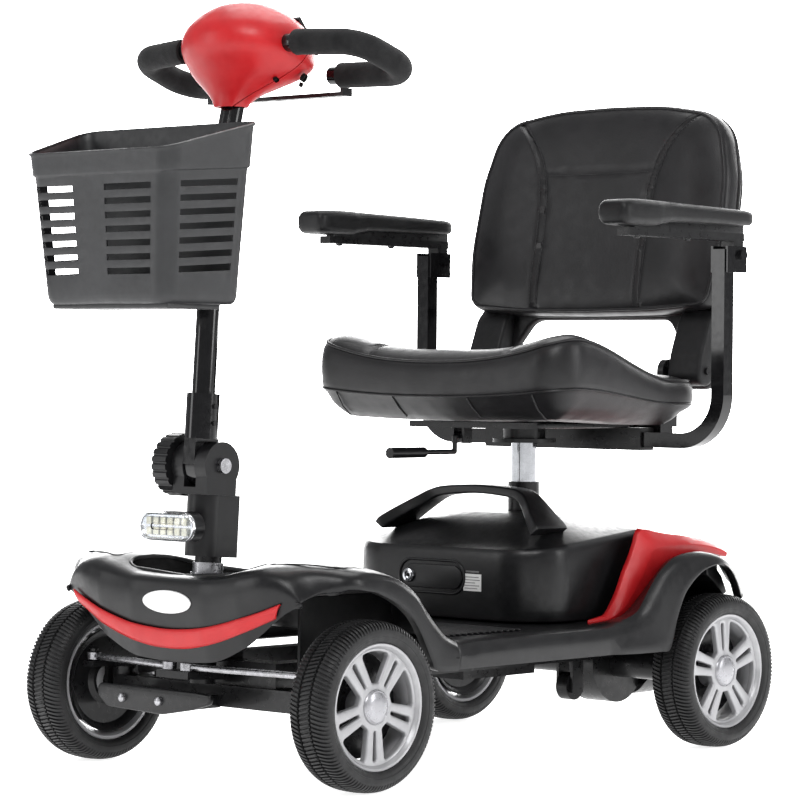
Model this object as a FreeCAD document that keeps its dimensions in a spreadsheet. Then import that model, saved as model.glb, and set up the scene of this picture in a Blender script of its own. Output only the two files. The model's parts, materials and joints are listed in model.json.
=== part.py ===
import FreeCAD, Part
import math
import os
import Sketcher

App = FreeCAD
Vector = App.Vector

# Mobility scooter.  Millimetres, +Z up, the front faces -Y, +X is the rider's left.
# Positions along Y are measured from the middle of the wheelbase; frame_y moves the
# whole scooter so that its bounding box stands centred on the origin.

DIMS = (
    ("frame_y", 54.3, "shift from mid wheelbase to the middle of the overall length"),
    ("fit_gap", 0.05, "radial clearance of a running fit"),
    ("skin", 4, "wall of the plastic covers"),
    # wheels
    ("track_half", 227, "wheel centre from the middle plane"),
    ("axle_y", 334.5, "half wheelbase"),
    ("axle_z", 100, "axle height"),
    ("bead_rad", 72, "tyre inner radius"),
    ("barrel_rad", 66, "rim barrel inner radius"),
    ("barrel_half", 22, "half rim barrel width"),
    ("flange_rad", 74.5, "rim flange radius"),
    ("flange_len", 3, "rim flange thickness"),
    ("hub_rad", 17, "wheel hub radius"),
    ("hub_in", 12, "hub reach inwards from the wheel middle"),
    ("hub_out", 21, "hub reach outwards from the wheel middle"),
    ("cap_rad", 21, "hub cap radius"),
    ("cap_len", 4, "hub cap thickness"),
    ("bore_end", 19, "end of the axle bore"),
    ("spoke_wide", 9, "spoke width"),
    ("spoke_gap", 6, "slot between the two bars of a spoke"),
    ("spoke_thick", 8, "spoke thickness"),
    ("spoke_face", 20, "outer face of the spokes from the wheel middle"),
    ("spoke_pairs", 5, "number of double spokes"),
    ("front_turn", 54, "angle of the first front spoke"),
    ("rear_turn", 23, "angle of the first rear spoke"),
    # front axle and steering
    ("king_x", 176, "kingpin from the middle plane"),
    ("king_rad", 8, "kingpin radius"),
    ("king_half", 30, "half kingpin length"),
    ("beam_boss_rad", 16, "axle beam boss radius"),
    ("beam_boss_half", 20, "half height of the beam boss"),
    ("beam_deep", 34, "axle beam depth"),
    ("beam_low", 84, "axle beam underside"),
    ("beam_high", 110, "axle beam top"),
    ("fork_gap", 0.3, "side gap between fork and boss"),
    ("fork_plate", 7, "knuckle fork plate thickness"),
    ("fork_half", 14, "half width of the knuckle fork"),
    ("upright_in", 17, "knuckle upright start from the kingpin"),
    ("upright_out", 24, "knuckle upright end from the kingpin"),
    ("stub_rad", 6, "stub axle radius"),
    ("stub_end", 69, "stub axle end from the kingpin"),
    ("spacer_rad", 10, "stub axle spacer radius"),
    ("spacer_end", 38, "spacer end from the kingpin"),
    ("arm_x", 15, "ball pin from the kingpin, outwards"),
    ("arm_y", 40, "ball pin from the kingpin, forwards"),
    ("arm_half", 9, "half width of a steering arm"),
    ("ball_rad", 3, "ball pin radius"),
    ("ball_head_rad", 5.5, "ball pin head radius"),
    ("ball_top", 12, "ball pin reach above the arm"),
    ("ball_head", 3, "ball pin head height"),
    ("eye_rad", 8.5, "tie rod eye radius"),
    ("eye_half", 4.3, "half tie rod eye height"),
    ("eye_slack", 1.2, "play of the outer tie rod eye"),
    ("rod_rad", 4, "tie rod radius"),
    ("tie_len", 180.1, "tie rod centre distance"),
    ("tie_yaw", 12.3, "tie rod angle to the X axis"),
    ("col_y", 373, "steering axis ahead of the middle, at col_z"),
    ("col_z", 133, "height of the steering reference point"),
    ("col_lean", 3.5, "steering axis lean back"),
    ("shaft_rad", 16, "steering shaft radius"),
    ("shaft_low", -20, "steering shaft foot"),
    ("shaft_high", 132, "steering shaft head"),
    ("pitman_half", 27, "half pitman plate width"),
    ("pitman_front", 50, "pitman plate reach forwards"),
    ("pitman_back", 17, "pitman plate reach back"),
    ("pitman_low", -14, "pitman plate underside"),
    ("pitman_top", -5.3, "pitman plate top"),
    ("head_tube_rad", 23, "head tube radius"),
    ("head_tube_low", 8, "head tube foot"),
    ("head_tube_high", 100, "head tube top"),
    ("nut_rad", 21, "bearing nut radius"),
    ("nut_low", 100.3, "bearing nut underside"),
    ("nut_high", 112, "bearing nut top"),
    ("nut_small_rad", 18.5, "lock nut radius"),
    ("nut_small_high", 124, "lock nut top"),
    ("collar_half", 23, "half collar width"),
    ("collar_front", -8, "centre of the round front of the collar"),
    ("collar_back", 25, "rear face of the collar"),
    ("collar_low", 131, "collar foot"),
    ("collar_high", 205, "collar top"),
    ("tilt_y", -12.65, "tilt pivot from the steering axis"),
    ("tilt_z", 239.7, "tilt pivot along the steering axis"),
    ("cheek_rad", 28.5, "clevis cheek radius"),
    ("cheek_in", 10, "clevis cheek inner face"),
    ("cheek_out", 29, "clevis cheek outer face"),
    ("cheek_base", 8, "clevis base thickness"),
    ("bolt_rad", 5, "tilt bolt radius"),
    ("bolt_head_rad", 9, "tilt bolt head radius"),
    ("bolt_head", 6, "tilt bolt head height"),
    ("bolt_reach", 50, "tilt bolt reach through the knob"),
    ("knob_rad", 38, "tilt knob radius"),
    ("knob_in", 30, "tilt knob inner face"),
    ("knob_out", 54, "tilt knob outer face"),
    ("knob_ribs", 24, "number of ribs round the knob"),
    ("knob_rib_rad", 2, "rib groove radius"),
    ("lamp_y", 428, "headlight lens back face, ahead of the middle"),
    ("lamp_z", 302, "headlight height"),
    ("lamp_half", 43.5, "half lens width"),
    ("lamp_rad", 16, "half lens height"),
    ("lamp_rim", 1.8, "housing rim round the lens"),
    ("lamp_deep", 12, "lens depth"),
    ("lamp_case", 13, "housing depth"),
    ("lamp_arm_half", 15, "half headlight arm width"),
    ("lamp_arm_tall", 12, "half headlight arm height"),
    ("lamp_arm_len", 25, "headlight arm length"),
    # tiller
    ("tiller_y", 371, "tilt pivot ahead of the middle"),
    ("tiller_z", 373, "tilt pivot height"),
    ("tiller_lean", 3.85, "lower tiller tube lean back"),
    ("tiller_bend", 10.4, "extra lean of the upper tube"),
    ("lug_rad", 26, "tilt lug radius"),
    ("lug_half", 9.7, "half lug thickness"),
    ("tube_off", -10, "tube axis ahead of the pivot"),
    ("tube_rad", 14, "tiller tube radius"),
    ("tube_bore", 11.5, "tiller tube bore radius"),
    ("tube_low", 40, "tube foot above the pivot"),
    ("tube_knee", 310, "bend above the pivot"),
    ("tube_up", 178, "length of the upper tube"),
    ("knee_rad", 90, "bend radius of the tube"),
    ("sleeve_rad", 20, "tube sleeve radius"),
    ("sleeve_low", 31, "sleeve foot"),
    ("sleeve_high", 85, "sleeve top"),
    ("screw_rad", 3, "sleeve screw radius"),
    ("screw_out", 3, "sleeve screw head height"),
    ("screw_low", 50, "lower sleeve screw height"),
    ("screw_step", 20, "sleeve screw spacing"),
    ("clamp_z", 285, "basket clamp height above the pivot"),
    ("clamp_half", 17, "half clamp height"),
    ("clamp_rad", 20, "clamp radius"),
    ("clamp_plate_half", 46, "half basket plate width"),
    ("clamp_plate_tall", 36, "half basket plate height"),
    ("clamp_plate_y", -57, "basket plate front face from the pivot"),
    ("clamp_plate", 4, "basket plate thickness"),
    ("clamp_web", 14, "half clamp web width"),
    # handlebar loops
    ("bar_y", 318, "front run of the loops ahead of the middle"),
    ("bar_z", 876, "front run height"),
    ("bar_drop", 18.8, "loop plane slope"),
    ("bar_rad", 11, "handlebar tube radius"),
    ("foam_rad", 15.5, "foam grip radius"),
    # head
    ("head_wall", 4, "wall of the head covers"),
    ("split_lean", 47, "lean of the joint between the head covers"),
    ("split_y", 336, "joint line at the front, ahead of the middle"),
    ("split_z", 812, "joint line height at the front"),
    ("split_gap", 0.6, "gap at the joint line"),
    ("con_y", 254, "console centre ahead of the middle"),
    ("con_z", 892, "console centre height"),
    ("con_lean", 50, "console slope"),
    ("con_half", 55, "half console width"),
    ("con_deep", 27, "half console depth"),
    ("con_thick", 5, "console plate thickness"),
    ("dial_rad", 13, "speed dial radius"),
    ("dial_tall", 11, "speed dial height"),
    ("dial_x", 30, "speed dial place"),
    ("pin_rad", 3, "dial pin radius"),
    ("key_x", -32, "key place"),
    ("lock_rad", 9, "key lock radius"),
    ("lock_tall", 3, "key lock height"),
    ("key_stem", 4, "key stem radius"),
    ("key_rise", 5, "key stem height above the lock"),
    ("key_bow", 11, "half key bow width"),
    ("key_bow_tall", 15, "key bow height"),
    ("key_bow_thick", 1.5, "half key bow thickness"),
    ("horn_y", -13, "horn button place"),
    ("horn_rad", 7, "horn button radius"),
    ("horn_tall", 4, "horn button height"),
    ("gauge_half", 13, "half battery gauge width"),
    ("gauge_y", 12, "battery gauge place"),
    ("gauge_deep", 5, "half battery gauge depth"),
    ("gauge_tall", 1.5, "battery gauge height"),
    ("thr_y", 252, "throttle pivot ahead of the middle"),
    ("thr_z", 818, "throttle lever height"),
    ("thr_half", 116, "half throttle lever length"),
    ("thr_deep", 8, "half throttle lever depth"),
    ("thr_thick", 2.5, "half throttle lever thickness"),
    ("thr_tip", 7, "height of the lever tips"),
    ("thr_pin", 4, "throttle pin radius"),
    ("thr_pin_low", -7, "throttle pin foot"),
    ("thr_pin_high", 27, "throttle pin top"),
    # basket
    ("bas_low", 568, "basket floor underside"),
    ("bas_top", 800, "height of the basket loft before its rim is cut"),
    ("bas_wall", 3, "basket wall"),
    ("rim_y", 551, "front of the basket rim ahead of the middle"),
    ("rim_z", 737, "front of the basket rim height"),
    ("rim_slope", 16.3, "slope of the basket rim"),
    ("rows", 7, "slot rows"),
    ("row_low", 598, "lowest slot"),
    ("row_step", 16.4, "slot pitch"),
    ("slot_tall", 7.5, "slot height"),
    ("slot_in", 12, "inner end of a front slot"),
    ("slot_out", 96, "outer end of a front slot"),
    ("side_front", 532, "front end of a side slot ahead of the middle"),
    ("side_back", 447, "rear end of a side slot ahead of the middle"),
    ("slot_reach", 40, "depth of the front slot cutters"),
    ("tray_half", 96, "half tray width"),
    ("tray_front", 528, "tray front ahead of the middle"),
    ("tray_back", 446, "tray back ahead of the middle"),
    ("tray_thick", 6, "tray thickness"),
    # frame
    ("rail_x", 82, "frame rail from the middle plane"),
    ("rail_wide", 25, "frame rail width"),
    ("rail_low", 110, "frame rail underside"),
    ("rail_high", 140, "frame rail top"),
    ("rail_front", 345, "rail front ahead of the middle"),
    ("rail_back", 292, "rail end behind the middle"),
    ("cross_deep", 28, "cross member depth"),
    ("cross_one", -345, "front cross member"),
    ("cross_two", -120, "middle cross member"),
    ("cross_three", 60, "cross member below the battery"),
    ("cross_four", 203, "cross member below the seat"),
    ("gusset_half", 12, "half gusset thickness"),
    ("gusset_high", 222, "gusset top"),
    ("guard_low", 82, "guard plate foot"),
    ("guard_high", 104, "guard plate top"),
    ("guard_left", -146, "guard plate far end"),
    ("guard_right", 16, "guard plate near end"),
    ("guard_y", 402, "guard plate face ahead of the middle"),
    ("guard_thick", 8, "guard plate thickness"),
    ("stay_wide", 20, "guard plate stay width"),
    ("guard_bolt_one", -110, "guard bolt"),
    ("guard_bolt_two", -43, "guard bolt"),
    ("guard_bolt_z", 91, "guard bolt height"),
    ("guard_bolt_rad", 5, "guard bolt radius"),
    ("guard_bolt_len", 3, "guard bolt head height"),
    # rear drive
    ("gear_x", 46, "gear case middle"),
    ("gear_half", 23, "half gear case width"),
    ("gear_rad", 54, "gear case radius"),
    ("axle_tube_rad", 20, "axle tube radius"),
    ("axle_tube_end", 188, "axle tube end"),
    ("half_shaft_rad", 8.5, "half shaft radius"),
    ("half_shaft_in", 120, "half shaft inner end"),
    ("bearing_in", 118, "bearing bore start"),
    ("motor_rad", 40, "motor radius"),
    ("motor_len", 44, "motor length behind the gear case"),
    ("motor_z", 92, "motor height"),
    ("motor_cap", 34, "motor end cap radius"),
    ("motor_cap_len", 10, "motor end cap length"),
    ("tip_y", 236, "anti-tip roller behind the middle"),
    ("tip_x", 66, "anti-tip roller place"),
    ("tip_z", 74, "anti-tip roller height"),
    ("tip_rad", 18, "anti-tip roller radius"),
    ("tip_half", 9, "half anti-tip roller width"),
    ("tip_pin", 4, "anti-tip roller pin radius"),
    ("tip_plate", 4, "anti-tip bracket plate"),
    ("tip_gap", 1, "anti-tip roller side gap"),
    ("tip_deep", 11, "half anti-tip bracket depth"),
    ("tray_low", 96, "battery tray underside"),
    ("under_front", 20, "battery tray front"),
    ("under_back", 160, "battery tray back"),
    ("under_half", 69, "half battery tray width"),
    ("ecu_half", 80, "half controller width"),
    ("ecu_front", 300, "controller front"),
    ("ecu_back", 388, "controller back"),
    # shroud and deck
    ("body_half", 238, "half body width"),
    ("well_in", 152, "inner wall of the wheel wells"),
    ("stem_half", 108, "half stem opening width"),
    ("stem_front", 410, "stem opening front"),
    ("stem_back", 300, "stem opening back"),
    ("band_deep", 2.5, "thickness of the red nose strip"),
    ("deck_top", 168, "deck height"),
    ("deck_wall", 6, "deck thickness"),
    ("deck_low", 134, "sill underside"),
    ("deck_front", 180.5, "deck front ahead of the middle"),
    ("deck_back", 192, "deck end behind the middle"),
    ("sill_wall", 6, "sill wall thickness"),
    ("rear_half", 148, "half width of the rear tub"),
    ("rear_low", 150, "rear tub underside"),
    ("rear_top", 239.6, "rear tub top"),
    ("rear_end", 398, "rear tub end"),
    ("fender_in", 196, "fender inner face"),
    ("fender_half", 241, "fender outer face"),
    ("fender_rad", 130, "rear wheel arch radius"),
    ("socket_y", 217, "seat post behind the middle"),
    ("socket_rad", 21, "seat socket radius"),
    ("socket_foot", 140, "seat socket foot"),
    ("socket_top", 342, "seat socket top"),
    ("flange_half", 45, "half socket base width"),
    ("flange_tall", 6, "socket base thickness"),
    ("socket_hole", 25, "hole round the seat socket"),
    # rear cover
    ("cover_half", 194, "half red cover width"),
    ("cover_in", 171.5, "inner face of the red side bands"),
    # battery
    ("case_half", 169, "half battery case width"),
    ("case_back", 284, "battery case back"),
    ("recess_left", -60, "front recess far end"),
    ("recess_right", 44, "front recess near end"),
    ("recess_z", 223, "front recess height"),
    ("recess_rad", 17, "front recess half height"),
    ("recess_y", 60, "front recess floor"),
    ("lock_x", -46, "charge socket place"),
    ("lock_big", 9, "charge socket radius"),
    ("lock_face", 50, "charge socket face"),
    ("grip_foot_y", 109, "handle foot"),
    ("grip_foot_z", 284, "handle foot height"),
    ("grip_lean", 36, "handle lean"),
    ("grip_deep", 22, "handle depth"),
    # seat
    ("post_rad", 17, "seat post radius"),
    ("post_low", 206, "seat post foot"),
    ("post_top", 411, "seat post top"),
    ("hub_low", 394, "swivel hub foot"),
    ("swivel_rad", 42, "swivel flange radius"),
    ("swivel_tall", 5, "swivel flange thickness"),
    ("swivel_neck", 28, "swivel hub radius"),
    ("plate_half", 100, "half seat plate width"),
    ("plate_front", 100, "seat plate front"),
    ("plate_back", 350, "seat plate back"),
    ("plate_low", 414, "seat plate underside"),
    ("plate_top", 422, "seat plate top"),
    ("recv_half", 135, "half armrest receiver length"),
    ("recv_y", 308, "armrest receiver"),
    ("recv_z", 399, "armrest receiver height"),
    ("recv_out", 14, "half receiver outside"),
    ("recv_in", 10.3, "half receiver bore"),
    ("cross_half", 145, "half rear bar length"),
    ("hinge_y", 345, "backrest hinge"),
    ("hinge_z", 490, "backrest hinge height"),
    ("hinge_in", 134, "hinge plate inner face"),
    ("hinge_out", 144, "hinge plate outer face"),
    ("hinge_half", 16, "half hinge plate depth"),
    ("hinge_pin", 5, "hinge pin radius"),
    ("hinge_reach", 208, "hinge pin end"),
    ("pan_half", 186, "half seat pan width"),
    ("pan_front", 62, "seat pan front"),
    ("pan_back", 318, "seat pan back"),
    ("pan_top", 430, "seat pan top"),
    ("pad_half", 215, "half seat cushion width"),
    ("lev_x", -32, "swivel lever place"),
    ("lev_y", 128, "swivel lever pivot"),
    ("lev_z", 402, "swivel lever pivot height"),
    ("lev_rad", 3.5, "swivel lever rod radius"),
    ("lev_drop", 20, "drop of the lever rod"),
    ("lev_back", 14, "distance from the pivot to the drop"),
    ("lev_end", 140, "lever length"),
    ("lev_grip", 7, "lever grip radius"),
    ("lev_grip_len", 66, "lever grip length"),
    ("lev_hub", 7, "lever hub radius"),
    ("lev_hub_half", 6, "half lever hub length"),
    ("ear_in", 7, "lever ear inner face"),
    ("ear_out", 11, "lever ear outer face"),
    ("ear_half", 8, "half lever ear depth"),
    ("ear_low", 393, "lever ear foot"),
    # backrest
    ("rest_lean", 11, "backrest lean"),
    ("rest_front", -28, "cushion front"),
    ("rest_mid", 14, "cushion back"),
    ("rest_split", 14.5, "shell front"),
    ("rest_back", 31, "shell back"),
    ("leg_in", 146, "inner face of a shell leg"),
    ("leg_out", 205, "outer face of a shell leg"),
    ("leg_front", -5, "front of a shell leg"),
    ("leg_low", -14, "foot of a shell leg"),
    ("leg_top", 78, "top of a shell leg"),
    # armrests
    ("tube_half", 10, "half armrest tube width"),
    ("tube_x", 257, "armrest upright from the middle plane"),
    ("tube_in", 96, "armrest tube inner end"),
    ("tube_top", 648, "armrest tube top"),
    ("tube_bend", 60, "armrest tube bend radius"),
    ("pivot_y", 329, "arm pad pivot"),
    ("pivot_z", 640.7, "arm pad pivot height"),
    ("yoke_in", 10.5, "yoke plate inner face"),
    ("yoke_out", 13.5, "yoke plate outer face"),
    ("yoke_front", 300, "yoke plate front"),
    ("yoke_back", 341, "yoke plate back"),
    ("yoke_low", 618, "yoke plate foot"),
    ("yoke_top", 652, "yoke plate top"),
    ("arm_bolt", 4, "pad pivot bolt radius"),
    ("arm_bolt_head", 7, "pad pivot bolt head radius"),
    ("arm_bolt_out", 5, "pad pivot bolt head height"),
    ("tab_rad", 10, "pad tab radius"),
    ("tab_half", 9.5, "half pad tab width"),
    ("chan_low", 659, "pad channel underside"),
    ("chan_top", 669, "pad channel top"),
    ("chan_front", 100, "pad channel front"),
    ("chan_back", 341, "pad channel back"),
    ("arm_x_mid", 261, "arm pad from the middle plane"),
    ("arm_pad_half", 25, "half arm pad width"),
    ("arm_pad_top", 703, "arm pad top"),
    ("arm_pad_front", 71, "arm pad front"),
    ("arm_pad_back", 347, "arm pad back"),
    ("arm_pad_corner", 10, "arm pad edge radius"),
)

# Outlines: each corner is two coordinates and a corner radius (0 is a sharp corner).
OUTLINES = {
    # radius, offset from the wheel middle
    "tyre": ((72, -22, 0), (75, -22, 0), (77, -26, 0), (84, -29, 4), (91, -30, 4), (97, -27, 5),
             (100, -20, 6), (100, 20, 6), (97, 27, 5), (91, 30, 4), (84, 29, 4), (77, 26, 0),
             (75, 22, 0), (72, 22, 0)),
    # Y, Z
    "shroud_side": ((-425, 141, 0), (-452, 212, 20), (-450, 244, 14), (-430, 262, 24),
                    (-345, 266, 60), (-280, 258, 60), (-207, 238, 20), (-181, 168, 0),
                    (-181, 134, 0)),
    "shroud_hollow": ((-418, 120, 0), (-445, 212, 16), (-444, 240, 10), (-426, 256, 20),
                      (-345, 260, 60), (-280, 252, 60), (-212, 233, 16), (-187, 162, 0),
                      (-187, 120, 0)),
    "front_well": ((-480, 60, 0), (-480, 217, 0), (-454, 219, 10), (-406, 230, 40),
                   (-352, 233, 40), (-322, 229, 30), (-288, 215, 30), (-261, 197, 20),
                   (-244, 172, 20), (-228, 148, 20), (-217, 118, 10), (-213, 60, 0)),
    # X, Z
    "shroud_front": ((0, 141, 60), (60, 143, 80), (120, 165, 80), (180, 205, 30), (238, 212, 0),
                     (238, 236, 20), (226, 258, 30), (150, 267, 60), (0, 267, 0),
                     (-150, 267, 60), (-226, 258, 30), (-238, 236, 20), (-238, 212, 0),
                     (-180, 205, 30), (-120, 165, 80), (-60, 143, 80)),
    "smile": ((-176, 219, 0), (-120, 190, 90), (-60, 166, 90), (0, 159, 90), (60, 166, 90),
              (120, 190, 90), (176, 219, 0), (120, 207, 90), (60, 186, 90), (0, 180, 90),
              (-60, 186, 90), (-120, 207, 90)),
    # Y, Z
    "rear_fender": ((172, 134, 0), (172, 168, 10), (182, 190, 20), (210, 229, 30), (251, 252, 30),
                    (293, 258, 30), (337, 250, 30), (372, 229, 20), (388, 194, 10), (388, 134, 0)),
    "cover_side": ((124, 169, 0), (165, 169.5, 30), (195, 176, 30), (226, 194, 30), (247, 213, 30),
                   (267, 234, 20), (299, 248, 20), (331, 254, 20), (353, 253, 0), (406, 246, 0),
                   (404, 252, 5), (388, 261, 8), (353, 268, 20), (309, 274, 30), (256, 282, 30),
                   (225, 288, 0), (214, 262, 30), (196, 232, 30), (176, 196, 30), (160, 178, 20),
                   (124, 171, 0)),
    "cover_top": ((285.5, 240, 0), (285.5, 277, 0), (309, 274, 0), (353, 268, 20), (388, 261, 8),
                  (404, 252, 5), (406, 246, 0), (400, 246, 0), (386, 255, 6), (353, 262, 15),
                  (309, 268, 0), (291, 270, 0), (291, 240, 0)),
    "case_side": ((46, 170, 0), (46, 240, 10), (56, 266, 14), (80, 285, 40), (145, 303, 90),
                  (217, 303, 90), (262, 290, 40), (284, 270, 8), (284, 168.5, 0),
                  (60, 168.5, 0)),
    # X, Y
    "case_plan": ((-169, 80, 60), (-120, 44, 60), (120, 44, 60), (169, 80, 60), (160, 284, 30),
                  (-160, 284, 30)),
    # X, height above the handle foot
    "grip": ((-138, 0, 0), (-126, 24, 12), (-82, 57, 16), (82, 57, 16), (126, 24, 12), (138, 0, 0),
             (112, 0, 0), (104, 14, 8), (72, 42, 10), (-72, 42, 10), (-104, 14, 8), (-112, 0, 0)),
    # Y, Z
    "pad_side": ((30, 452, 8), (42, 508, 16), (66, 534, 14), (110, 524, 60), (200, 496, 80),
                 (325, 482, 10), (325, 431, 5), (66, 431, 10)),
    # X, height above the hinge
    "rest_face": ((-208, 82, 30), (208, 82, 30), (217, 150, 60), (215, 290, 60), (178, 357, 60),
                  (-178, 357, 60), (-215, 290, 60), (-217, 150, 60)),
    "rest_shell": ((-200, 70, 24), (200, 70, 24), (209, 150, 60), (207, 288, 56), (172, 350, 56),
                   (-172, 350, 56), (-207, 288, 56), (-209, 150, 60)),
    "handle_gap": ((-122, 66, 0), (122, 66, 0), (122, 92, 24), (84, 118, 34), (-84, 118, 34),
                   (-122, 92, 24)),
    # X, Y from the front run of the loop
    "loop": ((24, 0, 0), (104, 0, 70), (186, 12, 34), (191, 106, 34), (64, 98, 0)),
    "foam": ((96, 0, 0), (104, 0, 70), (186, 12, 34), (191, 106, 34), (80, 99, 0)),
}

# Head and basket sections: height, centre along Y, half width, half depth.
HEAD = ((801, -337, 25, 24), (818, -331, 46, 40), (840, -318, 78, 66), (866, -306, 96, 84),
        (892, -304, 88, 78), (912, -306, 66, 60), (925, -310, 36, 33), (929, -312, 12, 11))

BASKET_LOW = ((-102, -537, 22), (102, -537, 22), (120, -440, 16), (-120, -440, 16))
BASKET_TOP = ((-121, -556, 24), (121, -556, 24), (149, -430, 18), (-149, -430, 18))

doc = App.newDocument("mobility_scooter")
sheet = doc.addObject("Spreadsheet::Sheet", "dims")
row = [0]
values = {}


def enter(alias, value, note):
    row[0] += 1
    cell = "B%d" % row[0]
    sheet.set("A%d" % row[0], note)
    sheet.set(cell, str(value))
    sheet.setAlias(cell, alias)
    values[alias] = float(value)


class Size:
    """A length with the spreadsheet expression it comes from."""

    def __init__(self, value, text):
        self.value = value
        self.text = text

    def __add__(self, other):
        other = size(other)
        return Size(self.value + other.value, "(%s + %s)" % (self.text, other.text))

    def __sub__(self, other):
        other = size(other)
        return Size(self.value - other.value, "(%s - %s)" % (self.text, other.text))

    def __mul__(self, other):
        other = size(other)
        return Size(self.value * other.value, "(%s * %s)" % (self.text, other.text))

    def __truediv__(self, other):
        other = size(other)
        return Size(self.value / other.value, "(%s / %s)" % (self.text, other.text))

    def __neg__(self):
        return Size(-self.value, "(0 - %s)" % self.text)


def size(thing):
    if isinstance(thing, Size):
        return thing
    return Size(float(thing), repr(float(thing)))


class Dims:
    def __getattr__(self, alias):
        return Size(values[alias], "dims.%s" % alias)


d = Dims()
for alias, value, note in DIMS:
    enter(alias, value, note)


def enter_rows(name, table, fields):
    for i, entry in enumerate(table):
        for field, value in zip(fields, entry):
            enter("%s_%s%d" % (name, field, i), value, "%s corner %d" % (name, i))


def read_rows(name, table, fields):
    return [tuple(getattr(d, "%s_%s%d" % (name, field, i)) for field in fields)
            for i in range(len(table))]


for name, table in OUTLINES.items():
    enter_rows(name, table, ("uu", "vv", "rr"))
enter_rows("head_sec", HEAD, ("zz", "yy", "xx", "dd"))
enter_rows("bas_low_sec", BASKET_LOW, ("uu", "vv", "rr"))
enter_rows("bas_top_sec", BASKET_TOP, ("uu", "vv", "rr"))
doc.recompute()

OUT = {name: read_rows(name, table, ("uu", "vv", "rr")) for name, table in OUTLINES.items()}
HEAD_ROWS = read_rows("head_sec", HEAD, ("zz", "yy", "xx", "dd"))
LOW_ROWS = read_rows("bas_low_sec", BASKET_LOW, ("uu", "vv", "rr"))
TOP_ROWS = read_rows("bas_top_sec", BASKET_TOP, ("uu", "vv", "rr"))
NODES = []
TURN = {"x": (Vector(0, 1, 0), 90), "y": (Vector(1, 0, 0), -90), "z": (Vector(0, 0, 1), 0)}
count = [0]


def fresh(name):
    count[0] += 1
    return "%s_%03d" % (name, count[0])


def bind(thing, field, length):
    length = size(length)
    thing.setExpression(field, length.text)


def move(thing, at, axis=None, angle=None):
    if axis is not None:
        thing.Placement = App.Placement(Vector(0, 0, 0), App.Rotation(axis, size(angle).value))
        if isinstance(angle, Size):
            bind(thing, "Placement.Rotation.Angle", angle)
    for field, length in zip("xyz", at):
        bind(thing, "Placement.Base.%s" % field, length)
    return thing


def box(low, high):
    """A block between two corners."""
    thing = doc.addObject("Part::Box", fresh("block"))
    for field, a, b in zip(("Length", "Width", "Height"), low, high):
        bind(thing, field, size(b) - size(a))
    return move(thing, low)


def rod(radius, start, length, axis="z"):
    """A round bar from a start point along an axis."""
    thing = doc.addObject("Part::Cylinder", fresh("rod"))
    bind(thing, "Radius", radius)
    bind(thing, "Height", length)
    vector, angle = TURN[axis]
    return move(thing, start, vector, angle)


def fuse(*things):
    result = doc.addObject("Part::MultiFuse", fresh("fuse"))
    result.Shapes = list(things)
    result.Refine = True
    return result


def cut(base, *tools):
    result = doc.addObject("Part::Cut", fresh("cut"))
    result.Base = base
    result.Tool = tools[0] if len(tools) == 1 else fuse(*tools)
    return result


def group(*things):
    result = doc.addObject("Part::Compound", fresh("group"))
    result.Links = list(things)
    return result


def common(a, b):
    result = doc.addObject("Part::Common", fresh("common"))
    result.Base = a
    result.Tool = b
    return result


def plane_of(body, role):
    return [f for f in body.Origin.OriginFeatures if f.Role == role][0]


def new_sketch(body, role, offset=None):
    sketch = body.newObject("Sketcher::SketchObject", fresh("sketch"))
    sketch.AttachmentSupport = [(plane_of(body, role), "")]
    sketch.MapMode = "FlatFace"
    if offset is not None:
        bind(sketch, "AttachmentOffset.Base.z", offset)
    return sketch


def pin_point(sketch, index, place, u, v):
    for kind, length in (("DistanceX", u), ("DistanceY", v)):
        where = sketch.addConstraint(Sketcher.Constraint(kind, -1, 1, index, place, length.value))
        sketch.setExpression("Constraints[%d]" % where, length.text)


def corner_points(corners, closed):
    """Tangent points, centre and turning side of each corner."""
    result = []
    last = len(corners) - 1
    for i, (u, v, r) in enumerate(corners):
        here = Vector(u.value, v.value, 0)
        if r.value == 0 or (not closed and i in (0, last)):
            result.append((here, here, None, 0))
            continue
        before = corners[i - 1]
        after = corners[(i + 1) % len(corners)]
        a = (Vector(before[0].value, before[1].value, 0) - here).normalize()
        b = (Vector(after[0].value, after[1].value, 0) - here).normalize()
        half = a.getAngle(b) / 2
        reach = r.value / math.tan(half)
        middle = here + (a + b).normalize() * (r.value / math.sin(half))
        side = 1 if a.cross(b).z < 0 else -1
        result.append((here + a * reach, here + b * reach, middle, side))
    return result


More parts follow.
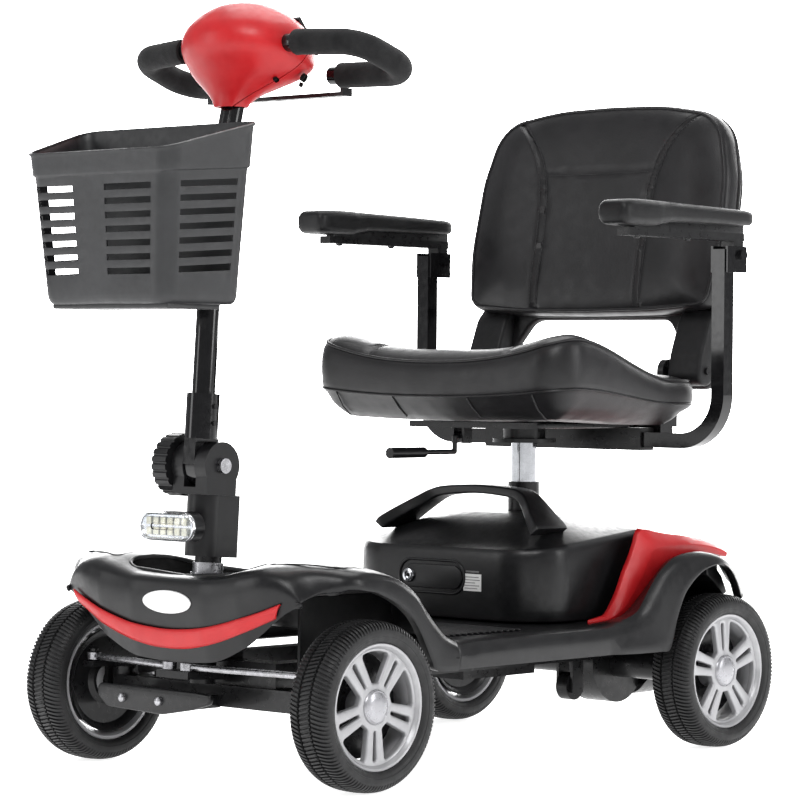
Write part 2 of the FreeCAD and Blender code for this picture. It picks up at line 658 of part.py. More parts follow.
def draw(sketch, corners, closed=True):
    """A wire of straight runs and tangent arcs, held to the spreadsheet."""
    points = corner_points(corners, closed)
    total = len(corners)
    spans = total if closed else total - 1
    lines = []
    for i in range(spans):
        a = points[i][1]
        b = points[(i + 1) % total][0]
        lines.append(sketch.addGeometry(Part.LineSegment(a, b), False))
    for i, (u, v, r) in enumerate(corners):
        start, end, middle, side = points[i]
        into = lines[i - 1] if closed or i > 0 else None
        out = lines[i] if i < spans else None
        if middle is None:
            if out is not None:
                pin_point(sketch, out, 1, u, v)
                if into is not None:
                    sketch.addConstraint(Sketcher.Constraint("Coincident", into, 2, out, 1))
            else:
                pin_point(sketch, into, 2, u, v)
            continue
        corner = sketch.addGeometry(Part.Point(Vector(u.value, v.value, 0)), True)
        pin_point(sketch, corner, 1, u, v)
        first, second = (start, end) if side > 0 else (end, start)
        angles = [math.atan2(p.y - middle.y, p.x - middle.x) for p in (first, second)]
        circle = Part.Circle(middle, Vector(0, 0, 1), r.value)
        arc = sketch.addGeometry(Part.ArcOfCircle(circle, angles[0], angles[1]), False)
        near, far = (1, 2) if side > 0 else (2, 1)
        sketch.addConstraint([
            Sketcher.Constraint("PointOnObject", corner, 1, into),
            Sketcher.Constraint("PointOnObject", corner, 1, out),
            Sketcher.Constraint("Tangent", into, 2, arc, near),
            Sketcher.Constraint("Tangent", arc, far, out, 1)])
        where = sketch.addConstraint(Sketcher.Constraint("Radius", arc, r.value))
        sketch.setExpression("Constraints[%d]" % where, r.text)


def circle_in(sketch, radius):
    index = sketch.addGeometry(Part.Circle(Vector(0, 0, 0), Vector(0, 0, 1), radius.value), False)
    sketch.addConstraint(Sketcher.Constraint("Coincident", index, 3, -1, 1))
    where = sketch.addConstraint(Sketcher.Constraint("Radius", index, radius.value))
    sketch.setExpression("Constraints[%d]" % where, radius.text)


def new_body():
    return doc.addObject("PartDesign::Body", fresh("body"))


def prism(role, corners, low, high):
    """An outline padded between two levels along its plane normal (X, Y or Z)."""
    body = new_body()
    # The normal of the XZ plane points along -Y.
    start = -size(high) if role == "XZ_Plane" else size(low)
    sketch = new_sketch(body, role, start)
    draw(sketch, corners)
    pad = body.newObject("PartDesign::Pad", fresh("pad"))
    pad.Profile = sketch
    bind(pad, "Length", size(high) - size(low))
    body.Tip = pad
    return body


def lathe(corners):
    """An outline of radius and offset turned about the X axis."""
    body = new_body()
    sketch = new_sketch(body, "XY_Plane")
    draw(sketch, [(v, u, r) for u, v, r in corners])
    turned = body.newObject("PartDesign::Revolution", fresh("turned"))
    turned.Profile = sketch
    turned.ReferenceAxis = (sketch, ["H_Axis"])
    turned.Angle = 360
    body.Tip = turned
    return body


def bent_tube(path, radius, bore, path_role, start_role):
    """A round tube along a flat path; the path starts at the body's origin."""
    body = new_body()
    spine = new_sketch(body, path_role)
    draw(spine, path, closed=False)
    profile = new_sketch(body, start_role)
    circle_in(profile, radius)
    if bore is not None:
        circle_in(profile, bore)
    pipe = body.newObject("PartDesign::AdditivePipe", fresh("pipe"))
    pipe.Profile = profile
    pipe.Spine = spine
    body.Tip = pipe
    return body


def ellipse_in(sketch, centre_v, major, minor):
    ellipse = Part.Ellipse(Vector(0, centre_v.value, 0), major.value, minor.value)
    index = sketch.addGeometry(ellipse, False)
    sketch.exposeInternalGeometry(index)
    pin_point(sketch, index, 3, size(0), centre_v)
    # The exposed major and minor diameters are the two next lines.
    for line, half in ((index + 1, major), (index + 2, minor)):
        where = sketch.addConstraint(Sketcher.Constraint("Distance", line, half.value * 2))
        sketch.setExpression("Constraints[%d]" % where, (half * 2).text)
    sketch.addConstraint(Sketcher.Constraint("Horizontal", index + 1))


def loft(levels):
    """A smooth loft through sections given as (height, function that draws one)."""
    body = new_body()
    sketches = []
    for height, section in levels:
        sketch = new_sketch(body, "XY_Plane", height)
        section(sketch)
        sketches.append(sketch)
    solid = body.newObject("PartDesign::AdditiveLoft", fresh("loft"))
    solid.Profile = sketches[0]
    solid.Sections = sketches[1:]
    body.Tip = solid
    return body


def mirror(source):
    result = doc.addObject("Part::Mirroring", fresh("mirror"))
    result.Source = source
    result.Normal = Vector(1, 0, 0)
    result.Base = Vector(0, 0, 0)
    return result


def node(label, thing, at=(0, 0, 0), axis=None, angle=None):
    """Name a finished sub-part and put it in its place on the scooter."""
    x, y, z = (size(value) for value in at)
    move(thing, (x, y + d.frame_y, z), axis, angle)
    thing.Label = label
    NODES.append(thing)
    return thing


def pair(label, build, at, axis=None, angle=None):
    """The same sub-part on the left and, mirrored, on the right."""
    left = node(label + "_left", build(), at, axis, angle)
    right = mirror(left)
    right.Label = label + "_right"
    NODES.append(right)
    return left, right


AXIS_X = Vector(1, 0, 0)
COLUMN = (0, -d.col_y, d.col_z)
TILLER = (0, -d.tiller_y, d.tiller_z)
CONSOLE = (0, -d.con_y, d.con_z)
HINGE = (0, d.hinge_y, d.hinge_z)


# ---------------------------------------------------------------- wheels
def tyre():
    return lathe(OUT["tyre"])


def rim(turn, bore):
    barrel = cut(rod(d.bead_rad, (-d.barrel_half, 0, 0), d.barrel_half * 2, "x"),
                 rod(d.barrel_rad, (-d.barrel_half, 0, 0), d.barrel_half * 2, "x"))
    flanges = [cut(rod(d.flange_rad, (start, 0, 0), d.flange_len, "x"),
                   rod(d.barrel_rad, (start, 0, 0), d.flange_len, "x"))
               for start in (d.barrel_half, -d.barrel_half - d.flange_len)]
    hub = rod(d.hub_rad, (-d.hub_in, 0, 0), d.hub_in + d.hub_out, "x")
    cap = rod(d.cap_rad, (d.hub_out, 0, 0), d.cap_len, "x")
    bars = []
    for i in range(int(values["spoke_pairs"])):
        for side in (-1, 1):
            near = (d.spoke_gap / 2) if side > 0 else -(d.spoke_gap / 2 + d.spoke_wide)
            bar = doc.addObject("Part::Box", fresh("spoke"))
            bind(bar, "Length", d.spoke_thick)
            bind(bar, "Width", d.spoke_wide)
            bind(bar, "Height", d.bead_rad - 2 - d.hub_rad + 4)
            spot = App.Placement(Vector(0, near.value, values["hub_rad"] - 4), App.Rotation())
            angle = values[turn] + i * 360 / values["spoke_pairs"]
            bar.Placement = App.Placement(Vector(values["spoke_face"] - values["spoke_thick"], 0, 0),
                                          App.Rotation(AXIS_X, angle - 90)).multiply(spot)
            bars.append(bar)
    wheel = fuse(barrel, hub, cap, *(flanges + bars))
    return cut(wheel, rod(bore, (-d.hub_in - 1, 0, 0), d.hub_in + 1 + d.bore_end, "x"))


def wheels():
    stations = (("front", -d.axle_y, "front_turn", d.stub_rad + d.fit_gap),
                ("rear", d.axle_y, "rear_turn", d.half_shaft_rad))
    for end, y, turn, bore in stations:
        place = (d.track_half, y, d.axle_z)
        pair("tyre_" + end, tyre, place)
        if end == "front":
            pair("rim_" + end, lambda: rim(turn, bore), place)
        else:
            pair("rim_" + end, lambda: group(rim(turn, bore), half_shaft()), place)


# ---------------------------------------------------------------- front axle and steering
def knuckle():
    inner = d.beam_boss_half + d.fork_gap
    outer = inner + d.fork_plate
    parts = [rod(d.king_rad, (0, 0, -d.king_half), d.king_half * 2)]
    for low in (inner, -outer):
        parts.append(box((-d.fork_half, -d.fork_half, low),
                         (d.upright_out, d.fork_half, low + d.fork_plate)))
    parts.append(box((d.upright_in, -d.fork_half, -outer), (d.upright_out, d.fork_half, outer)))
    parts.append(rod(d.spacer_rad, (d.upright_out - 1, 0, 0), d.spacer_end - d.upright_out + 1, "x"))
    parts.append(rod(d.stub_rad, (d.upright_out, 0, 0), d.stub_end - d.upright_out, "x"))
    parts.append(box((d.arm_x - d.arm_half, -d.arm_y - d.arm_half, inner),
                     (d.arm_x + d.arm_half, 0, outer)))
    parts.append(rod(d.ball_rad, (d.arm_x, -d.arm_y, outer - 1), d.ball_top + 1))
    parts.append(rod(d.ball_head_rad, (d.arm_x, -d.arm_y, outer + d.ball_top), d.ball_head))
    return fuse(*parts)


def tie_rod():
    parts = [rod(d.eye_rad, (0, 0, -d.eye_half), d.eye_half * 2),
             rod(d.eye_rad, (d.tie_len, 0, -d.eye_half), d.eye_half * 2),
             rod(d.rod_rad, (d.eye_rad / 2, 0, 0), d.tie_len - d.eye_rad, "x")]
    reach = d.eye_half * 2 + 2
    return cut(fuse(*parts),
               rod(d.ball_rad + d.fit_gap, (0, 0, -d.eye_half - 1), reach),
               rod(d.ball_rad + d.eye_slack, (d.tie_len, 0, -d.eye_half - 1), reach))


def tie_rods():
    lean = App.Rotation(AXIS_X, -values["col_lean"])
    pin = lean.multVec(Vector(values["arm_x"], -values["arm_y"], 0))
    turn = lean.multiply(App.Rotation(Vector(0, 0, 1), values["tie_yaw"]))
    left = tie_rod()
    left.Placement = App.Placement(Vector(0, 0, 0), turn)
    bind(left, "Placement.Base.x", size(pin.x))
    bind(left, "Placement.Base.y", size(pin.y) - d.col_y + d.frame_y)
    bind(left, "Placement.Base.z", size(pin.z) + d.col_z)
    left.Label = "tie_rod_left"
    right = mirror(left)
    right.Label = "tie_rod_right"
    NODES.extend((left, right))


def axle_beam():
    parts = [box((-d.king_x, -d.beam_deep / 2, d.beam_low), (d.king_x, d.beam_deep / 2, d.beam_high))]
    bores = []
    for side in (-1, 1):
        x = d.king_x * side
        low = d.axle_z - d.beam_boss_half
        parts.append(rod(d.beam_boss_rad, (x, 0, low), d.beam_boss_half * 2))
        bores.append(rod(d.king_rad + d.fit_gap, (x, 0, low - 1), d.beam_boss_half * 2 + 2))
    return cut(fuse(*parts), *bores)


def steering_column():
    parts = [rod(d.shaft_rad, (0, 0, d.shaft_low), d.shaft_high - d.shaft_low),
             box((-d.pitman_half, -d.pitman_front, d.pitman_low),
                 (d.pitman_half, d.pitman_back, d.pitman_top))]
    for side in (-1, 1):
        x = d.arm_x * side
        parts.append(rod(d.ball_rad, (x, -d.arm_y, d.pitman_top - 1), d.ball_top + 1))
        parts.append(rod(d.ball_head_rad, (x, -d.arm_y, d.pitman_top + d.ball_top), d.ball_head))
    return fuse(*parts)


def bearing_nut():
    parts = fuse(rod(d.nut_rad, (0, 0, d.nut_low), d.nut_high - d.nut_low),
                 rod(d.nut_small_rad, (0, 0, d.nut_high - 1), d.nut_small_high - d.nut_high + 1))
    return cut(parts, rod(d.shaft_rad, (0, 0, d.nut_low - 1), d.nut_small_high - d.nut_low + 2))


def column_collar():
    tall = d.collar_high - d.collar_low
    shell = fuse(rod(d.collar_half, (0, d.collar_front, d.collar_low), tall),
                 box((-d.collar_half, d.collar_front, d.collar_low),
                     (d.collar_half, d.collar_back, d.collar_high)))
    return cut(shell, rod(d.shaft_rad, (0, 0, d.collar_low - 1), d.shaft_high - d.collar_low + 1))


def tilt_clevis():
    base_top = d.collar_high + d.cheek_base
    parts = [box((-d.cheek_out, d.tilt_y - d.cheek_rad + 4, d.collar_high - 0.5),
                 (d.cheek_out, d.tilt_y + d.cheek_rad - 4, base_top))]
    bore = rod(d.bolt_rad, (-d.cheek_out - 1, d.tilt_y, d.tilt_z), d.cheek_out * 2 + 2, "x")
    for side in (-1, 1):
        start = d.cheek_in if side > 0 else -d.cheek_out
        width = d.cheek_out - d.cheek_in
        parts.append(rod(d.cheek_rad, (start, d.tilt_y, d.tilt_z), width, "x"))
        parts.append(box((start, d.tilt_y - d.cheek_rad + 4, base_top - 1),
                         (start + width, d.tilt_y + d.cheek_rad - 4, d.tilt_z)))
    return cut(fuse(*parts), bore)


def tilt_bolt():
    return fuse(rod(d.bolt_rad, (-d.bolt_reach, d.tilt_y, d.tilt_z), d.bolt_reach + d.cheek_out + 1, "x"),
                rod(d.bolt_head_rad, (d.cheek_out, d.tilt_y, d.tilt_z), d.bolt_head, "x"))


def tilt_knob():
    """Round knob on the tilt bolt, with grip grooves round it."""
    length = d.knob_out - d.knob_in
    disc = rod(d.knob_rad, (-d.knob_out, 0, 0), length, "x")
    grooves = []
    ribs = int(values["knob_ribs"])
    for i in range(ribs):
        angle = 2 * math.pi * i / ribs
        spot = (-d.knob_out, d.knob_rad * math.cos(angle), d.knob_rad * math.sin(angle))
        grooves.append(rod(d.knob_rib_rad, spot, length, "x"))
    bore = rod(d.bolt_rad + d.fit_gap, (-d.bolt_reach - 1, 0, 0), d.bolt_reach, "x")
    return cut(disc, bore, *grooves)


def stadium(half, radius, low, high):
    """A flat-sided oval along X between two levels along Y."""
    span = high - low
    return fuse(box((-half + radius, low, -radius), (half - radius, high, radius)),
                rod(radius, (-half + radius, low, 0), span, "y"),
                rod(radius, (half - radius, low, 0), span, "y"))


def headlight_housing():
    bowl = stadium(d.lamp_half + d.lamp_rim, d.lamp_rad + d.lamp_rim, -d.lamp_rim, d.lamp_case)
    arm = box((-d.lamp_arm_half, d.lamp_case - 1, -d.lamp_arm_tall),
              (d.lamp_arm_half, d.lamp_arm_len, d.lamp_arm_tall))
    return cut(fuse(bowl, arm), stadium(d.lamp_half, d.lamp_rad, -d.lamp_rim - 1, size(0)))


def headlight_lens():
    return stadium(d.lamp_half, d.lamp_rad, -d.lamp_deep, size(0))


def steering():
    node("front_axle_beam", axle_beam(), (0, -d.axle_y, 0))
    pair("steering_knuckle", knuckle, (d.king_x, -d.axle_y, d.axle_z))
    tie_rods()
    lean = -d.col_lean
    node("steering_column", steering_column(), COLUMN, AXIS_X, lean)
    node("bearing_nut", bearing_nut(), COLUMN, AXIS_X, lean)
    node("column_collar", fuse(column_collar(), tilt_clevis()), COLUMN, AXIS_X, lean)
    node("tilt_bolt", tilt_bolt(), COLUMN, AXIS_X, lean)
    spot = App.Rotation(AXIS_X, -values["col_lean"]).multVec(
        Vector(0, values["tilt_y"], values["tilt_z"]))
    node("tilt_knob", tilt_knob(), (0, size(spot.y) - d.col_y, size(spot.z) + d.col_z), AXIS_X, lean)
    node("headlight_housing", headlight_housing(), (0, -d.lamp_y, d.lamp_z))
    node("headlight_lens", headlight_lens(), (0, -d.lamp_y, d.lamp_z))


# ---------------------------------------------------------------- tiller
def tiller_knuckle():
    lug = rod(d.lug_rad, (-d.lug_half, 0, 0), d.lug_half * 2, "x")
    neck = box((-d.lug_half, d.tube_off - d.sleeve_rad + 2, 0),
               (d.lug_half, d.tube_off + d.sleeve_rad, d.sleeve_low + 2))
    sleeve = rod(d.sleeve_rad, (0, d.tube_off, d.sleeve_low), d.sleeve_high - d.sleeve_low)
    bolt = rod(d.bolt_rad + d.fit_gap, (-d.lug_half - 1, 0, 0), d.lug_half * 2 + 2, "x")
    tube = rod(d.tube_rad, (0, d.tube_off, d.tube_low), d.sleeve_high)
    return cut(fuse(lug, neck, sleeve), bolt, tube)


def sleeve_screws():
    heads = []
    for side in (-1, 1):
        for i in (0, 1):
            height = d.screw_low + d.screw_step * i
            start = d.sleeve_rad if side > 0 else -d.sleeve_rad - d.screw_out
            heads.append(rod(d.screw_rad, (start, d.tube_off, height), d.screw_out, "x"))
    return group(*heads)


def tiller_tube():
    angle = math.radians(values["tiller_bend"])
    rise = d.tube_knee - d.tube_low
    path = [(size(0), size(0), size(0)), (size(0), rise, d.knee_rad),
            (d.tube_up * math.sin(angle), rise + d.tube_up * math.cos(angle), size(0))]
    return bent_tube(path, d.tube_rad, d.tube_bore, "YZ_Plane", "XY_Plane")


def basket_bracket():
    clamp = rod(d.clamp_rad, (0, d.tube_off, d.clamp_z - d.clamp_half), d.clamp_half * 2)
    web = box((-d.clamp_web, d.clamp_plate_y + 1, d.clamp_z - d.clamp_half),
              (d.clamp_web, d.tube_off, d.clamp_z + d.clamp_half))
    plate = box((-d.clamp_plate_half, d.clamp_plate_y, d.clamp_z - d.clamp_plate_tall),
                (d.clamp_plate_half, d.clamp_plate_y + d.clamp_plate, d.clamp_z + d.clamp_plate_tall))
    bore = rod(d.tube_rad, (0, d.tube_off, d.clamp_z - d.clamp_half - 1), d.clamp_half * 2 + 2)
    return cut(fuse(clamp, web, plate), bore)


def head_blob():
    levels = [(height, lambda sk, c=centre, a=half, b=deep: ellipse_in(sk, c, a, b))
              for height, centre, half, deep in HEAD_ROWS]
    return loft(levels)


def head_core():
    """The hollow of the head: the same sections, smaller by the wall."""
    rows = HEAD_ROWS[1:-1]
    levels = [(height - d.head_wall / 2, lambda sk, c=centre, a=half - d.head_wall, b=deep - d.head_wall:
               ellipse_in(sk, c, a, b)) for height, centre, half, deep in rows]
    return loft(levels)


def console_side(depth):
    """A large block beyond the console plane, to trim the head flat there."""
    big = d.track_half
    block = box((-big, -big, -depth), (big, big, big))
    return move(group(block), CONSOLE, AXIS_X, -d.con_lean)


def split_side(gap):
    """A large block behind and below the joint between the two head covers."""
    big = d.track_half
    block = box((-big, -big, -big * 2), (big, big * 2, -gap))
    return move(group(block), (0, -d.split_y, d.split_z), AXIS_X, d.split_lean)


def loop_path(name):
    rows = OUT[name]
    first = rows[0][0]
    return [(u - first, v, r) for u, v, r in rows]


def loop_bar(name, radius, bore):
    """A handlebar loop in its own sloping plane, starting on the X axis."""
    body = bent_tube(loop_path(name), radius, bore, "XY_Plane", "YZ_Plane")
    move(body, (OUT[name][0][0], 0, 0))
    return group(body)


def loop_at(thing):
    return move(thing, (0, -d.bar_y, d.bar_z), AXIS_X, -d.bar_drop)


def head_cover(keep_back):
    shell = cut(head_blob(), head_core(), console_side(d.con_thick))
    block = split_side(d.split_gap if keep_back else -d.split_gap)
    side = common(shell, block) if keep_back else cut(shell, block)
    bars = [loop_at(loop_bar("loop", d.bar_rad + 0.5, None))]
    bars.append(mirror(bars[0]))
    return cut(side, *bars)


def tiller_top():
    """Lower tube axis point at the bend and the direction of the upper tube."""
    lean = App.Rotation(AXIS_X, -values["tiller_lean"])
    knee = lean.multVec(Vector(0, values["tube_off"], values["tube_knee"]))
    return knee


def stem_hole():
    knee = tiller_top()
    hole = rod(d.tube_rad + 0.5, (0, 0, 0), d.tube_up + 4)
    return move(group(hole), (0, size(knee.y) - d.tiller_y, size(knee.z) + d.tiller_z),
                AXIS_X, -(d.tiller_lean + d.tiller_bend))


def head_covers():
    node("head_top_cover", cut(head_cover(False), stem_hole()))
    pin = move(group(throttle_pin()), (0, -d.thr_y, d.thr_z))
    node("head_bottom_cover", group(cut(head_cover(True), stem_hole()), pin))


def console_panel():
    plate = box((-d.con_half, -d.con_deep, -d.con_thick + 0.3), (d.con_half, d.con_deep, 0))
    gauge = box((-d.gauge_half, d.gauge_y - d.gauge_deep, -1),
                (d.gauge_half, d.gauge_y + d.gauge_deep, d.gauge_tall))
    lock = rod(d.lock_rad, (d.key_x, 0, -1), d.lock_tall + 1)
    pin = rod(d.pin_rad, (d.dial_x, 0, -1), d.dial_tall)
    holes = [rod(d.key_stem + d.fit_gap, (d.key_x, 0, -d.con_thick - 1), d.con_thick + d.lock_tall + 2),
             rod(d.horn_rad + d.fit_gap, (0, d.horn_y, -d.con_thick - 1), d.con_thick + 2)]
    return cut(fuse(plate, gauge, lock, pin), *holes)


def speed_dial():
    return cut(rod(d.dial_rad, (0, 0, 0.3), d.dial_tall),
               rod(d.pin_rad + d.fit_gap, (0, 0, 0), d.dial_tall - 1))


def key():
    stem = rod(d.key_stem, (0, 0, -d.con_thick), d.con_thick + d.lock_tall + d.key_rise)
    bow = box((-d.key_bow, -d.key_bow_thick, d.lock_tall + 0.5),
              (d.key_bow, d.key_bow_thick, d.lock_tall + d.key_bow_tall))
    return fuse(stem, bow)


def on_console(x, y):
    spot = App.Rotation(AXIS_X, -values["con_lean"]).multVec(Vector(size(x).value, size(y).value, 0))
    return (size(x), size(spot.y) - d.con_y, size(spot.z) + d.con_z)


def throttle_lever():
    bar = box((-d.thr_half, -d.thr_deep, -d.thr_thick), (d.thr_half, d.thr_deep, d.thr_thick))
    tips = [box((start, -d.thr_deep, 0), (start + d.thr_thick * 2, d.thr_deep, d.thr_tip))
            for start in (d.thr_half - d.thr_thick * 2, -d.thr_half)]
    hub = rod(d.thr_deep + 3, (0, 0, -d.thr_thick), d.thr_thick * 2)
    bore = rod(d.thr_pin + d.fit_gap, (0, 0, -d.thr_thick - 1), d.thr_thick * 2 + 2)
    return cut(fuse(bar, hub, *tips), bore)


def throttle_pin():
    washer = rod(d.thr_deep, (0, 0, d.thr_pin_low), -d.thr_thick - 0.3 - d.thr_pin_low)
    return fuse(rod(d.thr_pin, (0, 0, d.thr_pin_low), d.thr_pin_high - d.thr_pin_low), washer)


def tiller():
    lean = -d.tiller_lean
    node("tiller_knuckle", group(tiller_knuckle(), sleeve_screws()), TILLER, AXIS_X, lean)
    foot = App.Rotation(AXIS_X, -values["tiller_lean"]).multVec(
        Vector(0, values["tube_off"], values["tube_low"]))
    node("tiller_tube", tiller_tube(), (0, size(foot.y) - d.tiller_y, size(foot.z) + d.tiller_z),
         AXIS_X, lean)
    node("basket_bracket", basket_bracket(), TILLER, AXIS_X, lean)
    head_covers()
    bars = (0, -d.bar_y, d.bar_z)
    for label, outline, radius, bore in (("handlebar", "loop", d.bar_rad, None),
                                         ("foam_grips", "foam", d.foam_rad, d.bar_rad + 0.2)):
        left = loop_bar(outline, radius, bore)
        node(label, group(left, mirror(left)), bars, AXIS_X, -d.bar_drop)
    node("console_panel", console_panel(), CONSOLE, AXIS_X, -d.con_lean)
    node("speed_dial", speed_dial(), on_console(d.dial_x, 0), AXIS_X, -d.con_lean)
    node("ignition_key", key(), on_console(d.key_x, 0), AXIS_X, -d.con_lean)
    horn = rod(d.horn_rad, (0, 0, -d.con_thick + 0.5), d.con_thick + d.horn_tall)
    node("horn_button", group(horn), on_console(0, d.horn_y), AXIS_X, -d.con_lean)
    node("throttle_lever", throttle_lever(), (0, -d.thr_y, d.thr_z))


# ---------------------------------------------------------------- basket
def basket_loft(inset, low, high):
    def section(rows):
        signs = ((1, 1), (-1, 1), (-1, -1), (1, -1))
        shifted = [(u + inset * su, v + inset * sv, r - inset * 0.5)
                   for (u, v, r), (su, sv) in zip(rows, signs)]
        return lambda sketch: draw(sketch, shifted)
    return loft([(low, section(LOW_ROWS)), (high, section(TOP_ROWS))])


def rim_cutter():
    big = d.track_half
    block = box((-big, -big / 4, 0), (big, big, big))
    return move(group(block), (0, -d.rim_y, d.rim_z), AXIS_X, d.rim_slope)


def basket():
    outer = basket_loft(size(0), d.bas_low, d.bas_top)
    inner = basket_loft(d.bas_wall, d.bas_low + d.bas_wall, d.bas_top + 1)
    slots = []
    for i in range(int(values["rows"])):
        low = d.row_low + d.row_step * i - d.slot_tall / 2
        high = low + d.slot_tall
        front = -d.rim_y - d.slot_reach / 2
        for start, end in ((d.slot_in, d.slot_out), (-d.slot_out, -d.slot_in)):
            slots.append(box((start, front, low), (end, front + d.slot_reach + 10, high)))
        slots.append(box((-d.body_half, -d.side_front, low), (d.body_half, -d.side_back, high)))
    return cut(outer, inner, rim_cutter(), *slots)


def basket_tray():
    return box((-d.tray_half, -d.tray_front, d.bas_low - d.tray_thick - 0.3),
               (d.tray_half, -d.tray_back, d.bas_low - 0.3))


def baskets():
    node("front_basket", group(basket(), basket_tray()))


# ---------------------------------------------------------------- frame and drive
def main_frame():
    half = d.rail_wide / 2
    parts = []
    for side in (-1, 1):
        x = d.rail_x * side
        parts.append(box((x - half, -d.rail_front, d.rail_low), (x + half, d.rail_back, d.rail_high)))
    for y in (d.cross_one, d.cross_two, d.cross_three, d.cross_four):
        parts.append(box((-d.rail_x, y, d.rail_low), (d.rail_x, y + d.cross_deep, d.rail_high)))
    parts.append(box((-d.gusset_half, -d.rail_front - 14, d.rail_high - 2),
                     (d.gusset_half, -d.rail_front + d.cross_deep, d.gusset_high)))
    shell = rod(d.head_tube_rad, (0, 0, d.head_tube_low), d.head_tube_high - d.head_tube_low)
    tube = move(group(shell), COLUMN, AXIS_X, -d.col_lean)
    hole = rod(d.shaft_rad + d.fit_gap, (0, 0, d.shaft_low * 2), d.nut_high - d.shaft_low * 2)
    bore = move(group(hole), COLUMN, AXIS_X, -d.col_lean)
    return cut(fuse(tube, *parts), bore)


def guard_plate():
    plate = box((d.guard_left, -d.guard_y, d.guard_low),
                (d.guard_right, -d.guard_y + d.guard_thick, d.guard_high))
    stays = [box((x, -d.guard_y + 1, d.guard_low + 4),
                 (x + d.stay_wide, -d.axle_y - d.beam_deep / 2, d.guard_high))
             for x in (d.guard_left + 8, d.guard_right - d.stay_wide - 8)]
    return fuse(plate, *stays)


def guard_bolts():
    return group(*[rod(d.guard_bolt_rad, (x, -d.guard_y - d.guard_bolt_len, d.guard_bolt_z),
                       d.guard_bolt_len, "y") for x in (d.guard_bolt_one, d.guard_bolt_two)])


def transaxle():
    case = rod(d.gear_rad, (d.gear_x - d.gear_half, 0, 0), d.gear_half * 2, "x")
    tube = rod(d.axle_tube_rad, (-d.axle_tube_end, 0, 0), d.axle_tube_end * 2, "x")
    bores = [rod(d.half_shaft_rad + d.fit_gap, (start, 0, 0), d.axle_tube_end - d.bearing_in + 1, "x")
             for start in (d.bearing_in, -d.axle_tube_end - 1)]
    return cut(fuse(case, tube), *bores)


def half_shaft():
    """Drive shaft in the bore of its rear rim."""
    return rod(d.half_shaft_rad, (d.half_shaft_in - d.track_half, 0, 0),
               d.track_half + d.bore_end - d.half_shaft_in, "x")


def drive_motor():
    start = d.axle_y + d.gear_rad - d.motor_cap_len
    body = rod(d.motor_rad, (d.gear_x, start, d.motor_z), d.motor_len, "y")
    cap = rod(d.motor_cap, (d.gear_x, start + d.motor_len - 1, d.motor_z), d.motor_cap_len, "y")
    keep_off = rod(d.gear_rad + 0.3, (-d.body_half, d.axle_y, d.axle_z), d.body_half * 2, "x")
    return cut(fuse(body, cap), keep_off)


def anti_tip_bracket():
    parts = []
    inner = d.tip_half + d.tip_gap
    for start in (inner, -inner - d.tip_plate):
        parts.append(box((start, -d.tip_deep, -d.tip_pin * 2),
                         (start + d.tip_plate, d.tip_deep, d.rail_low - d.tip_z)))
    parts.append(box((-inner - d.tip_plate, -d.tip_deep, d.rail_low - d.tip_z - d.tip_plate),
                     (inner + d.tip_plate, d.tip_deep, d.rail_low - d.tip_z)))
    parts.append(rod(d.tip_pin, (-inner - d.tip_plate, 0, 0), (inner + d.tip_plate) * 2, "x"))
    return fuse(*parts)


def anti_tip_roller():
    return cut(rod(d.tip_rad, (-d.tip_half, 0, 0), d.tip_half * 2, "x"),
               rod(d.tip_pin + d.fit_gap, (-d.tip_half - 1, 0, 0), d.tip_half * 2 + 2, "x"))


def seat_socket():
    tall = d.socket_top - d.socket_foot
    base = box((-d.flange_half, -d.flange_half, d.socket_foot),
               (d.flange_half, d.flange_half, d.socket_foot + d.flange_tall))
    return cut(fuse(rod(d.socket_rad, (0, 0, d.socket_foot), tall), base),
               rod(d.post_rad + d.fit_gap, (0, 0, d.socket_foot - 1), tall + 2))


def frame_parts():
    tray = box((-d.under_half, d.under_front, d.tray_low), (d.under_half, d.under_back, d.rail_low))
    node("main_frame", group(main_frame(), tray))
    node("guard_plate", group(guard_plate(), guard_bolts()))
    axle = move(group(transaxle()), (0, d.axle_y, d.axle_z))
    node("drive_unit", group(axle, drive_motor()))
    node("anti_tip_bracket", anti_tip_bracket(), (d.tip_x, d.tip_y, d.tip_z))
    node("anti_tip_roller", anti_tip_roller(), (d.tip_x, d.tip_y, d.tip_z))
    node("seat_socket", seat_socket(), (0, d.socket_y, 0))


# ---------------------------------------------------------------- body panels
def front_shroud():
    outer = common(prism("YZ_Plane", OUT["shroud_side"], -d.body_half, d.body_half),
                   prism("XZ_Plane", OUT["shroud_front"], -d.rim_y, size(0)))
    hollow = prism("YZ_Plane", OUT["shroud_hollow"], -(d.body_half - d.skin), d.body_half - d.skin)
    wells = [prism("YZ_Plane", OUT["front_well"], start, start + d.body_half)
             for start in (d.well_in, -d.well_in - d.body_half)]
    opening = box((-d.stem_half, -d.stem_front, d.deck_top), (d.stem_half, -d.stem_back, d.body_half * 2))
    front_low = prism("XZ_Plane", shroud_inner_front(), -d.rim_y, size(0))
    return cut(outer, common(hollow, front_low), opening, *wells)


def shroud_inner_front():
    """The front outline pulled in by the wall at its sides and top, open below."""
    wide = d.body_half - d.skin
    top = size(267) - d.skin
    return [(-wide, size(100), size(0)), (wide, size(100), size(0)), (wide, size(234), size(18)),
            (wide - 12, size(254), size(28)), (size(149), top, size(58)), (size(0), top, size(0)),
            (size(-149), top, size(58)), (-wide + 12, size(254), size(28)), (-wide, size(234), size(18))]


def nose_strip():
    """The red strip, lying on the face of the nose."""
    band = prism("XZ_Plane", OUT["smile"], -d.rim_y, -d.col_y)
    def face(shift):
        return prism("YZ_Plane", [(u - shift, v, r) for u, v, r in OUT["shroud_side"]],
                     -d.body_half, d.body_half)
    return common(band, cut(face(d.band_deep), face(size(0.2))))


